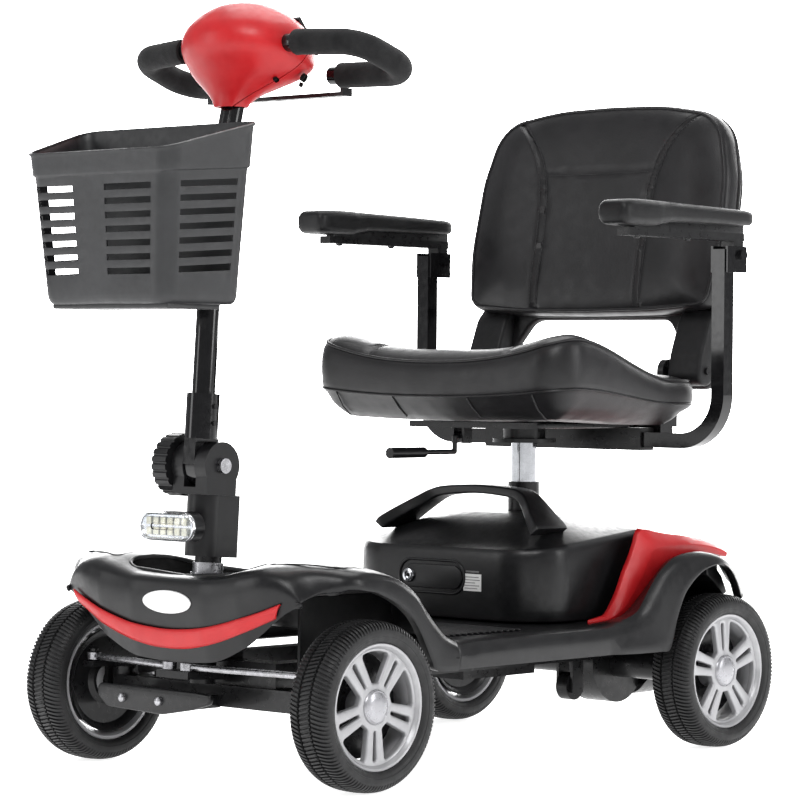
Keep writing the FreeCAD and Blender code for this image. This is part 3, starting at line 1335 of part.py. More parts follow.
def deck_shell():
    wide = d.body_half
    plate = box((-wide, -d.deck_front, d.deck_low), (wide, d.deck_back, d.deck_top))
    below = box((-wide + d.sill_wall, -d.deck_front - 1, d.deck_low - 1),
                (wide - d.sill_wall, d.deck_back + 1, d.deck_top - d.deck_wall))
    hole = rod(d.socket_hole, (0, d.socket_y, 0), d.body_half * 2)
    parts = [cut(plate, below)]
    tub = box((-d.rear_half, d.deck_back - 1, d.rear_low), (d.rear_half, d.rear_end, d.deck_top))
    parts.append(tub)
    back = cut(box((-d.rear_half, d.case_back + 2, d.deck_top - 1), (d.rear_half, d.rear_end, d.rear_top)),
               box((-d.rear_half + d.skin, d.case_back + 2 + d.skin, d.deck_top - 2),
                   (d.rear_half - d.skin, d.rear_end - d.skin, d.rear_top - d.skin)))
    parts.append(back)
    room = box((-d.ecu_half - 4, d.ecu_front - 4, d.rear_low - 1),
               (d.ecu_half + 4, d.ecu_back + 4, d.deck_top + 1))
    return cut(fuse(*parts), hole, room)


def rear_fender():
    arch = prism("YZ_Plane", OUT["rear_fender"], d.fender_in, d.fender_half)
    wheel = rod(d.fender_rad, (d.fender_in - 1, d.axle_y, d.axle_z), d.fender_half, "x")
    low = box((d.fender_in - 1, 0, 0), (d.fender_half + 1, d.deck_back + 0.3, d.deck_top + 0.3))
    return cut(arch, wheel, low)


def rear_cover():
    sides = [prism("YZ_Plane", OUT["cover_side"], start, start + d.cover_half - d.cover_in)
             for start in (d.cover_in, -d.cover_half)]
    top = prism("YZ_Plane", OUT["cover_top"], -d.cover_in, d.cover_in)
    return fuse(top, *sides)


def panels():
    node("front_shroud", front_shroud())
    node("nose_strip", nose_strip())
    node("deck_shell", deck_shell())
    fender = rear_fender()
    node("rear_fenders", group(fender, mirror(fender)))
    node("rear_cover", rear_cover())


# ---------------------------------------------------------------- battery
def battery_case():
    solid = common(prism("YZ_Plane", OUT["case_side"], -d.case_half, d.case_half),
                   prism("XY_Plane", OUT["case_plan"], size(100), size(400)))
    notch = rod(d.socket_hole, (0, d.socket_y, 0), d.body_half * 2)
    slot = box((-d.socket_hole, d.socket_y, 0), (d.socket_hole, d.case_back + 20, d.body_half * 2))
    middle = (d.recess_left + d.recess_right) / 2
    half = (d.recess_right - d.recess_left) / 2
    recess = move(group(stadium(half, d.recess_rad, size(0), d.recess_y)), (middle, 0, d.recess_z))
    return cut(solid, notch, slot, recess)


def battery_handle():
    arch = prism("XZ_Plane", OUT["grip"], -d.grip_deep / 2, d.grip_deep / 2)
    leaned = move(group(arch), (0, d.grip_foot_y, d.grip_foot_z), AXIS_X, -d.grip_lean)
    filled = common(prism("YZ_Plane", OUT["case_side"], -d.case_half, d.case_half),
                    prism("XY_Plane", OUT["case_plan"], size(100), size(400)))
    return cut(leaned, filled)


def battery():
    node("battery_case", battery_case())
    node("battery_handle", battery_handle())
    node("charge_socket", group(rod(d.lock_big, (d.lock_x, d.lock_face, d.recess_z),
                                    d.recess_y - d.lock_face, "y")))


# ---------------------------------------------------------------- seat
def swivel_hub():
    flange = rod(d.swivel_rad, (0, 0, d.hub_low), d.swivel_tall)
    neck = rod(d.swivel_neck, (0, 0, d.hub_low), d.plate_low - d.hub_low + 1)
    return cut(fuse(flange, neck), rod(d.post_rad + d.fit_gap, (0, 0, d.hub_low - 1),
                                       d.post_top - d.hub_low + 1.5))


def seat_frame():
    plate = box((-d.plate_half, d.plate_front, d.plate_low), (d.plate_half, d.plate_back, d.plate_top))
    bar = box((-d.cross_half, d.recv_y + d.recv_out + 2, d.plate_low - 10),
              (d.cross_half, d.plate_back, d.plate_top - 1))
    tube = box((-d.recv_half, d.recv_y - d.recv_out, d.recv_z - d.recv_out),
               (d.recv_half, d.recv_y + d.recv_out, d.plate_low + 1))
    ears = [box((d.lev_x + start, d.lev_y - d.ear_half, d.ear_low),
                (d.lev_x + start + 4, d.lev_y + d.ear_half, d.plate_low + 1))
            for start in (d.ear_in, -d.ear_out)]
    pin = rod(d.lev_rad, (d.lev_x - d.ear_out, d.lev_y, d.lev_z), d.ear_out * 2, "x")
    bore = box((-d.recv_half - 1, d.recv_y - d.recv_in, d.recv_z - d.recv_in),
               (d.recv_half + 1, d.recv_y + d.recv_in, d.recv_z + d.recv_in))
    return cut(fuse(plate, bar, tube, pin, *ears), bore)


def hinge_plates():
    plates = []
    for side in (-1, 1):
        start = d.hinge_in if side > 0 else -d.hinge_out
        plate = box((start, -d.hinge_half, d.plate_low + 2 - d.hinge_z), (start + 10, d.hinge_half, 0))
        eye = rod(d.hinge_half, (start, 0, 0), 10, "x")
        reach = d.hinge_reach - d.hinge_in
        pin = rod(d.hinge_pin, (d.hinge_in if side > 0 else -d.hinge_reach, 0, 0), reach, "x")
        plates.append(fuse(plate, eye, pin))
    return group(*plates)


def swivel_lever():
    hub = rod(d.lev_hub, (-d.lev_hub_half, 0, 0), d.lev_hub_half * 2, "x")
    back = rod(d.lev_rad, (0, -d.lev_back, 0), d.lev_back, "y")
    drop = rod(d.lev_rad, (0, -d.lev_back, -d.lev_drop), d.lev_drop)
    knee = doc.addObject("Part::Sphere", fresh("knee"))
    bind(knee, "Radius", d.lev_rad)
    move(knee, (0, -d.lev_back, 0))
    elbow = doc.addObject("Part::Sphere", fresh("elbow"))
    bind(elbow, "Radius", d.lev_rad)
    move(elbow, (0, -d.lev_back, -d.lev_drop))
    run = rod(d.lev_rad, (0, -d.lev_end, -d.lev_drop), d.lev_end - d.lev_back, "y")
    grip = rod(d.lev_grip, (0, -d.lev_end, -d.lev_drop), d.lev_grip_len, "y")
    bore = rod(d.lev_rad + d.fit_gap, (-d.lev_hub_half - 1, 0, 0), d.lev_hub_half * 2 + 2, "x")
    return cut(fuse(hub, back, drop, knee, elbow, run, grip), bore)


def seat():
    post = cut(rod(d.post_rad, (0, 0, d.post_low), d.post_top - d.post_low),
               rod(d.post_rad - 3, (0, 0, d.post_low - 1), d.post_top - d.post_low - 5))
    node("seat_post", post, (0, d.socket_y, 0))
    hub = move(group(swivel_hub()), (0, d.socket_y, 0))
    plates = move(hinge_plates(), HINGE)
    node("seat_frame", fuse(seat_frame(), hub, plates))
    node("seat_pan",
         group(box((-d.pan_half, d.pan_front, d.plate_top + 0.2), (d.pan_half, d.pan_back, d.pan_top))))
    node("seat_cushion", prism("YZ_Plane", OUT["pad_side"], -d.pad_half, d.pad_half))
    node("swivel_lever", swivel_lever(), (d.lev_x, d.lev_y, d.lev_z))


def backrest_shell():
    face = prism("XZ_Plane", OUT["rest_shell"], d.rest_split, d.rest_back)
    gap = prism("XZ_Plane", OUT["handle_gap"], size(0), d.rest_back + 10)
    legs = []
    bores = []
    for side in (-1, 1):
        start = d.leg_in if side > 0 else -d.leg_out
        legs.append(box((start, d.leg_front, d.leg_low),
                        (start + d.leg_out - d.leg_in, d.rest_back, d.leg_top)))
        bores.append(rod(d.hinge_pin + d.fit_gap, (start - 1, 0, 0), d.leg_out - d.leg_in + 2, "x"))
    return cut(fuse(face, *legs), gap, *bores)


def backrest():
    node("backrest_shell", backrest_shell(), HINGE, AXIS_X, -d.rest_lean)
    node("backrest_cushion", prism("XZ_Plane", OUT["rest_face"], d.rest_front, d.rest_mid),
         HINGE, AXIS_X, -d.rest_lean)


def arm_tube():
    half = d.tube_half
    path = ((d.tube_in, d.recv_z - half, size(0)), (d.tube_x + half, d.recv_z - half, d.tube_bend + half),
            (d.tube_x + half, d.tube_top, size(0)), (d.tube_x - half, d.tube_top, size(0)),
            (d.tube_x - half, d.recv_z + half, d.tube_bend - half), (d.tube_in, d.recv_z + half, size(0)))
    tube = prism("XZ_Plane", list(path), d.recv_y - half, d.recv_y + half)
    yokes = [box((d.tube_x + start, d.yoke_front, d.yoke_low),
                 (d.tube_x + start + d.yoke_out - d.yoke_in + 0.5, d.yoke_back, d.yoke_top))
             for start in (d.yoke_in - 0.5, -d.yoke_out)]
    trim = box((d.tube_x - d.yoke_in, d.recv_y + half, d.yoke_low - 1),
               (d.tube_x + d.yoke_in, d.yoke_back + 1, d.yoke_top + 1))
    bolt = rod(d.arm_bolt, (d.tube_x - d.yoke_out, d.pivot_y, d.pivot_z), d.yoke_out * 2, "x")
    heads = [rod(d.arm_bolt_head, (d.tube_x + start, d.pivot_y, d.pivot_z), d.arm_bolt_out + 0.5, "x")
             for start in (d.yoke_out - 0.5, -d.yoke_out - d.arm_bolt_out)]
    return fuse(cut(fuse(tube, *yokes), trim), bolt, *heads)


def arm_channel():
    tab = rod(d.tab_rad, (-d.tab_half, 0, 0), d.tab_half * 2, "x")
    neck = box((-d.tab_half, -d.tab_rad, 0), (d.tab_half, d.tab_rad, d.chan_low - d.pivot_z + 2))
    rail = box((-d.tab_half, d.chan_front - d.pivot_y, d.chan_low - d.pivot_z),
               (d.tab_half, d.chan_back - d.pivot_y, d.chan_top - d.pivot_z))
    return cut(fuse(tab, neck, rail),
               rod(d.arm_bolt + d.fit_gap, (-d.tab_half - 1, 0, 0), d.tab_half * 2 + 2, "x"))


def arm_pad():
    corner = d.arm_pad_corner
    half = d.arm_pad_half
    low, high = d.chan_top + 0.3, d.arm_pad_top
    outline = [(-half, low, corner), (half, low, corner), (half, high, corner), (-half, high, corner)]
    plan = [(-half + 5, d.arm_pad_front, size(16)), (half - 2, d.arm_pad_front, size(16)),
            (half, d.arm_pad_back, size(18)), (-half, d.arm_pad_back, size(18))]
    return common(prism("XZ_Plane", outline, d.arm_pad_front, d.arm_pad_back),
                  prism("XY_Plane", plan, low, high))


def armrests():
    pair("arm_tube", arm_tube, (0, 0, 0))
    pair("arm_channel", arm_channel, (d.tube_x, d.pivot_y, d.pivot_z))
    pair("arm_pad", arm_pad, (d.arm_x_mid, 0, 0))


wheels()
steering()
tiller()
baskets()
frame_parts()
panels()
battery()
seat()
backrest()
armrests()
doc.recompute()

broken = [thing.Label for thing in doc.Objects
          if "Invalid" in thing.State or "Error" in thing.State]
assert not broken, "features that did not build: %s" % ", ".join(broken)
for thing in NODES:
    assert not thing.Shape.isNull(), "empty shape: %s" % thing.Label
    assert thing.Shape.isValid(), "bad shape: %s" % thing.Label

os.makedirs("parts", exist_ok=True)
for thing in NODES:
    thing.Shape.exportStep("parts/%s.step" % thing.Label)

whole = App.BoundBox()
for thing in NODES:
    whole.add(thing.Shape.BoundBox)
print("nodes", len(NODES), "overall", whole)
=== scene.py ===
import json
import math

import bmesh
import bpy
import numpy as np
from mathutils import Matrix, Vector

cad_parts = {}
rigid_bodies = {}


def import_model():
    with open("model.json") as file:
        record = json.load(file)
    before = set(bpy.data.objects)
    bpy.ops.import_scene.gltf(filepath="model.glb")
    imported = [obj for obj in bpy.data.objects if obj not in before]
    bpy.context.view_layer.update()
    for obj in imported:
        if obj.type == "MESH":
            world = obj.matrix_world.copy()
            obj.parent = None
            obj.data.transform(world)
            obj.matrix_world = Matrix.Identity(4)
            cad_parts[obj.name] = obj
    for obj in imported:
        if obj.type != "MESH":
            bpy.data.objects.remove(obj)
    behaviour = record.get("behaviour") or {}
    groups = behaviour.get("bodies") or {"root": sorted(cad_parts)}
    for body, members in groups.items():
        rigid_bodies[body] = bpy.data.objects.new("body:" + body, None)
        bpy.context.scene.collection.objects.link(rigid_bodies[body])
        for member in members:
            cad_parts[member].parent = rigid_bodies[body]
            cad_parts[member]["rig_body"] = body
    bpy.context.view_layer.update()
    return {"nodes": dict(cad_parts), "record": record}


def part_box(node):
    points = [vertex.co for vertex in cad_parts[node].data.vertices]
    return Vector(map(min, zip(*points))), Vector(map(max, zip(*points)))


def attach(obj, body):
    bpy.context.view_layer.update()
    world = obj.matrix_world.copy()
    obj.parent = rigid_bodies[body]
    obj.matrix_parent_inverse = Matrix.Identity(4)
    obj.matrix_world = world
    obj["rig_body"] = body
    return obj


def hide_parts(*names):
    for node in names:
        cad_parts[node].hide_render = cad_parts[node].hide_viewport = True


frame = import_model()
NODE = frame["nodes"]
MM = 0.001

# Lengths below are in millimetres, measured from the middle of the wheelbase, on the floor.
front_lo, front_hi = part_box("rim_front_left")
rear_lo, rear_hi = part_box("rim_rear_left")
FRONT_Y = (front_lo.y + front_hi.y) / 2 / MM
REAR_Y = (rear_lo.y + rear_hi.y) / 2 / MM
SHIFT = (FRONT_Y + REAR_Y) / 2
AXLE = (REAR_Y - FRONT_Y) / 2
AXLE_Z = (front_lo.z + front_hi.z) / 2 / MM
tyre_lo, tyre_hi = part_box("tyre_front_left")
TRACK = (tyre_lo.x + tyre_hi.x) / 2 / MM


def side_name(sign):
    """+X is the rider's left."""
    return "left" if sign > 0 else "right"


def mirrored(half):
    """Points up to the middle one, then their mirror images across X = 0."""
    return half + [(-point[0], *point[1:]) for point in reversed(half[:-1])]


# ------------------------------------------------------------------ materials
class Nodes:
    """A small wrapper that builds a node material."""

    def __init__(self, name):
        self.mat = bpy.data.materials.new(name)
        self.mat.use_nodes = True
        self.tree = self.mat.node_tree
        self.tree.nodes.clear()
        self.out = self.add("ShaderNodeOutputMaterial")
        self.shader = self.add("ShaderNodeBsdfPrincipled")
        self.link(self.shader, "BSDF", self.out, "Surface")
        self.coord = self.add("ShaderNodeTexCoord")

    def add(self, kind, **values):
        node = self.tree.nodes.new(kind)
        for key, value in values.items():
            if hasattr(node, key):
                setattr(node, key, value)
            else:
                node.inputs[key].default_value = value
        return node

    def link(self, a, out, b, into):
        self.tree.links.new(a.outputs[out], b.inputs[into])

    def noise(self, scale, detail=3.0, rough=0.5):
        node = self.add("ShaderNodeTexNoise", Scale=scale, Detail=detail, Roughness=rough)
        self.link(self.coord, "Object", node, "Vector")
        return node

    def cells(self, scale):
        node = self.add("ShaderNodeTexVoronoi", Scale=scale)
        self.link(self.coord, "Object", node, "Vector")
        return node

    def ramp(self, source, out, low, high, at=(0.35, 0.65)):
        node = self.add("ShaderNodeValToRGB")
        node.color_ramp.elements[0].position = at[0]
        node.color_ramp.elements[1].position = at[1]
        node.color_ramp.elements[0].color = low
        node.color_ramp.elements[1].color = high
        self.link(source, out, node, "Fac")
        return node

    def bump(self, source, out, strength, distance, below=None):
        node = self.add("ShaderNodeBump", Strength=strength, Distance=distance)
        self.link(source, out, node, "Height")
        if below is not None:
            self.link(below, "Normal", node, "Normal")
        return node


def surface(name, low, high, rough=(0.4, 0.5), metal=0.0, coat=0.0, spread=40.0, grain=None, pebble=None,
            specular=0.5, sheen=0.0, waves=None):
    """A procedural finish: colour and roughness drift, with an optional fine grain or pebbled skin."""
    n = Nodes(name)
    drift = n.noise(spread, 4.0)
    colour = n.ramp(drift, "Fac", (*low, 1), (*high, 1))
    n.link(colour, "Color", n.shader, "Base Color")
    wear = n.noise(spread * 3.1, 5.0)
    gloss = n.ramp(wear, "Fac", (rough[0],) * 3 + (1,), (rough[1],) * 3 + (1,))
    n.link(gloss, "Color", n.shader, "Roughness")
    n.shader.inputs["Metallic"].default_value = metal
    n.shader.inputs["Specular IOR Level"].default_value = specular
    n.shader.inputs["Coat Weight"].default_value = coat
    n.shader.inputs["Coat Roughness"].default_value = 0.08
    n.shader.inputs["Sheen Weight"].default_value = sheen
    last = None
    if waves is not None:
        slow = n.noise(waves[0], 2.0)
        last = n.bump(slow, "Fac", waves[1], 0.006)
    if grain is not None:
        fine = n.noise(grain[0], 2.0, 0.6)
        last = n.bump(fine, "Fac", grain[1], 0.0004, last)
    if pebble is not None:
        skin = n.cells(pebble[0])
        last = n.bump(skin, "Distance", pebble[1], 0.0005, last)
    if last is not None:
        n.link(last, "Normal", n.shader, "Normal")
    return n.mat


M = {
    "abs": surface("black_abs", (0.005, 0.005, 0.0056), (0.0075, 0.0075, 0.0082), (0.28, 0.38),
                   grain=(1500, 0.12),
                   specular=0.32),
    "abs_rough": surface("textured_abs", (0.007, 0.007, 0.0075), (0.011, 0.011, 0.012), (0.42, 0.56),
                         grain=(1100, 0.3), specular=0.28),
    "basket": surface("basket_plastic", (0.012, 0.0125, 0.0135), (0.0165, 0.017, 0.0185), (0.36, 0.48),
                      grain=(1300, 0.22), specular=0.45),
    "red": surface("red_abs", (0.43, 0.009, 0.012), (0.48, 0.012, 0.015), (0.34, 0.44), coat=0.06,
                   grain=(900, 0.04), specular=0.35),
    "steel": surface("satin_black_steel", (0.005, 0.005, 0.0055), (0.008, 0.008, 0.0085), (0.26, 0.38),
                     coat=0.08,
                     grain=(800, 0.08), specular=0.3),
    "gloss": surface("gloss_black_steel", (0.003, 0.003, 0.0035), (0.005, 0.005, 0.0055), (0.1, 0.18),
                     coat=0.2,
                     specular=0.35),
    "chrome": surface("chrome", (0.42, 0.43, 0.45), (0.5, 0.51, 0.53), (0.08, 0.16), metal=1.0),
    "zinc": surface("zinc_plate", (0.32, 0.32, 0.33), (0.45, 0.45, 0.47), (0.22, 0.4), metal=1.0,
                    spread=120,
                    grain=(1500, 0.12)),
    "rim": surface("silver_paint", (0.33, 0.33, 0.34), (0.39, 0.39, 0.4), (0.3, 0.38), metal=0.35, coat=0.3,
                   grain=(2600, 0.12)),
    "cap": surface("silver_cap", (0.3, 0.3, 0.315), (0.38, 0.38, 0.4), (0.24, 0.36), metal=0.6, coat=0.4,
                   grain=(1600, 0.2)),
    "tyre": surface("tyre_rubber", (0.006, 0.006, 0.0065), (0.01, 0.01, 0.0105), (0.42, 0.6),
                    grain=(900, 0.3),
                    specular=0.4),
    "foam": surface("foam", (0.006, 0.006, 0.0065), (0.011, 0.011, 0.0115), (0.82, 0.95), sheen=0.06,
                    grain=(1900, 0.8), specular=0.25),
    "leather": surface("black_vinyl", (0.006, 0.0058, 0.0064), (0.0095, 0.009, 0.01), (0.33, 0.44),
                       pebble=(850, 0.2), grain=(500, 0.12), spread=18, specular=0.36, waves=(16, 0.3)),
    "pad": surface("moulded_pad", (0.0045, 0.0045, 0.005), (0.0075, 0.0075, 0.008), (0.34, 0.46),
                   pebble=(1100, 0.2),
                   spread=30, specular=0.26),
    "thread": surface("thread", (0.02, 0.02, 0.021), (0.03, 0.03, 0.032), (0.6, 0.75)),
    # painted shade: a near-black colour laid into openings, grooves, seams and screw recesses to stand for
    # the shade inside them
    "dark": surface("dark_recess", (0.002, 0.002, 0.002), (0.004, 0.004, 0.004), (0.6, 0.75), specular=0.2),
    "badge": surface("badge_white", (0.78, 0.78, 0.78), (0.84, 0.84, 0.84), (0.3, 0.4), coat=0.4),
    "label": surface("label_white", (0.66, 0.66, 0.65), (0.76, 0.76, 0.75), (0.45, 0.55)),
    "print": surface("label_print", (0.1, 0.1, 0.1), (0.2, 0.2, 0.2), (0.5, 0.6)),
    "led": surface("led_cell", (0.8, 0.78, 0.6), (0.92, 0.9, 0.75), (0.2, 0.3), coat=0.5),
    "reflector": surface("reflector", (0.75, 0.76, 0.78), (0.86, 0.87, 0.9), (0.1, 0.22), metal=0.9),
}


def clear_lens():
    n = Nodes("clear_lens")
    ridges = n.noise(260, 1.0)
    tint = n.ramp(ridges, "Fac", (0.9, 0.92, 0.94, 1), (1, 1, 1, 1))
    n.link(tint, "Color", n.shader, "Base Color")
    n.shader.inputs["Roughness"].default_value = 0.04
    n.shader.inputs["IOR"].default_value = 1.45
    n.shader.inputs["Transmission Weight"].default_value = 1.0
    wave = n.bump(ridges, "Fac", 0.15, 0.0006)
    n.link(wave, "Normal", n.shader, "Normal")
    return n.mat


M["lens"] = clear_lens()


# ------------------------------------------------------------------ mesh tools
def new_object(name, mesh, material):
    mesh.materials.clear()
    mesh.materials.append(material)
    thing = bpy.data.objects.new(name, mesh)
    bpy.context.scene.collection.objects.link(thing)
    return thing


def sharpen(mesh, angle=38.0, flip=True):
    """Smooth shading with sharp edges above an angle."""
    work = bmesh.new()
    work.from_mesh(mesh)
    bmesh.ops.remove_doubles(work, verts=work.verts, dist=1e-6)
    if flip:
        bmesh.ops.recalc_face_normals(work, faces=work.faces)
    limit = math.radians(angle)
    for face in work.faces:
        face.smooth = True
    for edge in work.edges:
        edge.smooth = not (len(edge.link_faces) == 2 and edge.calc_face_angle(0.0) > limit)
    work.to_mesh(mesh)
    work.free()
    mesh.update()


def to_row(points):
    """Millimetres from the wheelbase middle to metres in the row frame."""
    points = np.asarray(points, float).reshape(-1, 3) * MM
    points[:, 1] += SHIFT * MM
    return points


def build(name, points, faces, material, body, angle=38.0, replaces=()):
    mesh = bpy.data.meshes.new(name)
    mesh.from_pydata([tuple(p) for p in to_row(points)], [], [tuple(int(i) for i in f) for f in faces])
    sharpen(mesh, angle)
    thing = new_object(name, mesh, material)
    if body is not None:
        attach(thing, body)
    if replaces:
        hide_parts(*replaces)
    return thing


def bake(thing):
    """Apply the modifiers of an object to its mesh."""
    depsgraph = bpy.context.evaluated_depsgraph_get()
    mesh = bpy.data.meshes.new_from_object(thing.evaluated_get(depsgraph))
    thing.modifiers.clear()
    thing.data = mesh
    return thing


def modify(thing, kind, **values):
    """Adds a modifier and applies it."""
    modifier = thing.modifiers.new(kind.lower(), kind)
    for key, value in values.items():
        setattr(modifier, key, value)
    return bake(thing)


def carve(thing, cutter):
    """Cuts one mesh out of another and removes the cutter."""
    modifier = thing.modifiers.new("carve", "BOOLEAN")
    modifier.operation = "DIFFERENCE"
    modifier.object = cutter
    modifier.solver = "EXACT"
    bake(thing)
    bpy.data.objects.remove(cutter)
    return thing


def grid_faces(rows, columns, wrap_rows=False, wrap_columns=False, start=0):
    faces = []
    for i in range(rows if wrap_rows else rows - 1):
        for j in range(columns if wrap_columns else columns - 1):
            a = start + i * columns + j
            b = start + i * columns + (j + 1) % columns
            c = start + ((i + 1) % rows) * columns + (j + 1) % columns
            e = start + ((i + 1) % rows) * columns + j
            faces.append((a, b, c, e))
    return faces


def loft(name, rings, material, body, cap=True, angle=38.0, replaces=()):
    """Closed rings of equal length joined in order."""
    rings = [np.asarray(ring, float) for ring in rings]
    count = len(rings[0])
    points = np.concatenate(rings)
    faces = grid_faces(len(rings), count, wrap_columns=True)
    if cap:
        last = (len(rings) - 1) * count
        faces.append(tuple(range(count - 1, -1, -1)))
        faces.append(tuple(range(last, last + count)))
    return build(name, points, faces, material, body, angle, replaces)


def round_rect(half_u, half_v, radius, steps=6):
    """A rounded rectangle as (u, v) points."""
    radius = min(radius, half_u, half_v)
    result = []
    for cu, cv, start in ((1, 1, 0), (-1, 1, 90), (-1, -1, 180), (1, -1, 270)):
        for k in range(steps + 1):
            angle = math.radians(start + 90 * k / steps)
            result.append((cu * (half_u - radius) + radius * math.cos(angle),
                           cv * (half_v - radius) + radius * math.sin(angle)))
    return np.array(result)


def smooth_path(points, count):
    """A Catmull-Rom curve through points."""
    points = np.asarray(points, float)
    padded = np.vstack([2 * points[0] - points[1], points, 2 * points[-1] - points[-2]])
    result = []
    for t in np.linspace(0, len(points) - 1, count):
        i = min(int(t), len(points) - 2)
        f = t - i
        p0, p1, p2, p3 = padded[i:i + 4]
        result.append(0.5 * (2 * p1 + (p2 - p0) * f + (2 * p0 - 5 * p1 + 4 * p2 - p3) * f * f
                             + (3 * p1 - p0 - 3 * p2 + p3) * f ** 3))
    return np.array(result)


def sweep(name, path, profile, material, body, closed=False, angle=38.0, replaces=()):
    """A (u, v) profile carried along a path without twist."""
    path = np.asarray(path, float)
    count = len(path)
    tangents = np.gradient(path, axis=0)
    if closed:
        tangents = np.roll(path, -1, 0) - np.roll(path, 1, 0)
    tangents /= np.linalg.norm(tangents, axis=1)[:, None]
    normal = np.array((0, 0, 1), float)
    rings = []
    for i in range(count):
        normal = normal - tangents[i] * (normal @ tangents[i])
        normal /= np.linalg.norm(normal)
        side = np.cross(tangents[i], normal)
        rings.append(path[i] + profile[:, :1] * side + profile[:, 1:] * normal)
    points = np.concatenate(rings)
    faces = grid_faces(count, len(profile), wrap_rows=closed, wrap_columns=True)
    if not closed:
        faces.append(tuple(range(len(profile) - 1, -1, -1)))
        faces.append(tuple(range((count - 1) * len(profile), count * len(profile))))
    return build(name, points, faces, material, body, angle, replaces)


def circle(radius, count=24):
    angles = np.linspace(0, 2 * math.pi, count, endpoint=False)
    return np.c_[np.cos(angles), np.sin(angles)] * radius


def tube(name, path, radius, material, body, count=24, **more):
    return sweep(name, path, circle(radius, count), material, body, **more)


def turned(name, profile, centre, axis, material, body, count=72, angle=38.0, replaces=()):
    """A (radius, offset) profile turned about an axis."""
    axis = np.asarray(axis, float) / np.linalg.norm(axis)
    side = np.cross(axis, (0, 0, 1) if abs(axis[2]) < 0.9 else (1, 0, 0))
    side /= np.linalg.norm(side)
    other = np.cross(axis, side)
    centre = np.asarray(centre, float)
    rings = []
    for k in range(count):
        a = 2 * math.pi * k / count
        direction = side * math.cos(a) + other * math.sin(a)
        rings.append([centre + direction * r + axis * z for r, z in profile])
    points = np.concatenate([np.asarray(r) for r in rings])
    faces = grid_faces(count, len(profile), wrap_rows=True)
    return build(name, points, faces, material, body, angle, replaces)


BEVEL_STEPS = 3


def plate(name, outline, holes, place, thick, bevel, material, body, angle=30.0, replaces=()):
    """A flat plate with holes and rounded edges; place maps (u, v, w) to millimetres."""
    curve = bpy.data.curves.new(name, "CURVE")
    curve.dimensions = "2D"
    curve.fill_mode = "BOTH"
    curve.extrude = thick / 2 - bevel
    curve.bevel_depth = bevel
    curve.bevel_resolution = BEVEL_STEPS
    curve.offset = -bevel
    for loop in [outline] + list(holes):
        spline = curve.splines.new("POLY")
        spline.points.add(len(loop) - 1)
        for point, (u, v) in zip(spline.points, loop):
            point.co = (u, v, 0, 1)
        spline.use_cyclic_u = True
    holder = bpy.data.objects.new(name, curve)
    bpy.context.scene.collection.objects.link(holder)
    mesh = bpy.data.meshes.new_from_object(holder.evaluated_get(bpy.context.evaluated_depsgraph_get()))
    bpy.data.objects.remove(holder)
    flat = np.array([v.co for v in mesh.vertices])
    placed = to_row(place(flat))
    for vertex, co in zip(mesh.vertices, placed):
        vertex.co = co
    sharpen(mesh, angle)
    thing = new_object(name, mesh, material)
    if body is not None:
        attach(thing, body)
    if replaces:
        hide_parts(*replaces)
    return thing


def solid_box(name, low, high, material, body, bevel=1.5, replaces=()):
    """A block with rounded edges."""
    low, high = np.asarray(low, float), np.asarray(high, float)
    corners = np.array([[(low, high)[(k >> b) & 1][b] for b in range(3)] for k in range(8)])
    faces = [(0, 2, 3, 1), (4, 5, 7, 6), (0, 1, 5, 4), (2, 6, 7, 3), (0, 4, 6, 2), (1, 3, 7, 5)]
    thing = build(name, corners, faces, material, body, 30.0, replaces)
    if bevel:
        modify(thing, "BEVEL", width=bevel * MM, segments=BEVEL_STEPS, limit_method="ANGLE",
               harden_normals=False)
        sharpen(thing.data, 30.0)
    return thing


def prism(name, outline, low, high):
    """A plan outline as an upright cutting block."""
    count = len(outline)
    faces = grid_faces(2, count, wrap_columns=True)
    faces += [tuple(range(count)), tuple(range(2 * count - 1, count - 1, -1))]
    points = np.r_[np.c_[outline, np.full(count, low)], np.c_[outline, np.full(count, high)]]
    return build(name, points, faces, M["abs"], None)


def join(name, things):
    """Several meshes of one body as one object."""
    work = bmesh.new()
    for thing in things:
        work.from_mesh(thing.data)
    mesh = bpy.data.meshes.new(name)
    work.to_mesh(mesh)
    work.free()
    first = things[0]
    result = new_object(name, mesh, first.data.materials[0])
    if first.parent is not None:
        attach(result, first["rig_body"])
    for thing in things:
        bpy.data.objects.remove(thing)
    sharpen(mesh, 35.0, flip=False)
    return result


# ------------------------------------------------------------------ wheels
def place_at(mesh, name, centre, turned_round, roll, material, body, replaces=()):
    """A wheel part whose mesh is centred on the axle, outer face towards +X."""
    if name in {thing.name for thing in bpy.data.objects}:
        raise ValueError(name)
    own = mesh.copy()
    own.transform(Matrix.Rotation(math.pi if turned_round else 0, 4, "Z")
                  @ Matrix.Rotation(math.radians(roll), 4, "X"))
    if not own.materials:
        own.materials.append(material)
    thing = bpy.data.objects.new(name, own)
    bpy.context.scene.collection.objects.link(thing)
    x, y, z = centre
    thing.matrix_world = Matrix.Translation((x * MM, (y + SHIFT) * MM, z * MM))
    bpy.context.view_layer.update()
    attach(thing, body)
    if replaces:
        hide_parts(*replaces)
    return thing


def centred(thing):
    """Takes the mesh of a scratch object built round the wheelbase middle back to the origin."""
    mesh = thing.data
    for vertex in mesh.vertices:
        vertex.co.y -= SHIFT * MM
    bpy.data.objects.remove(thing)
    return mesh


RIBS = 118
SPOKES = 5


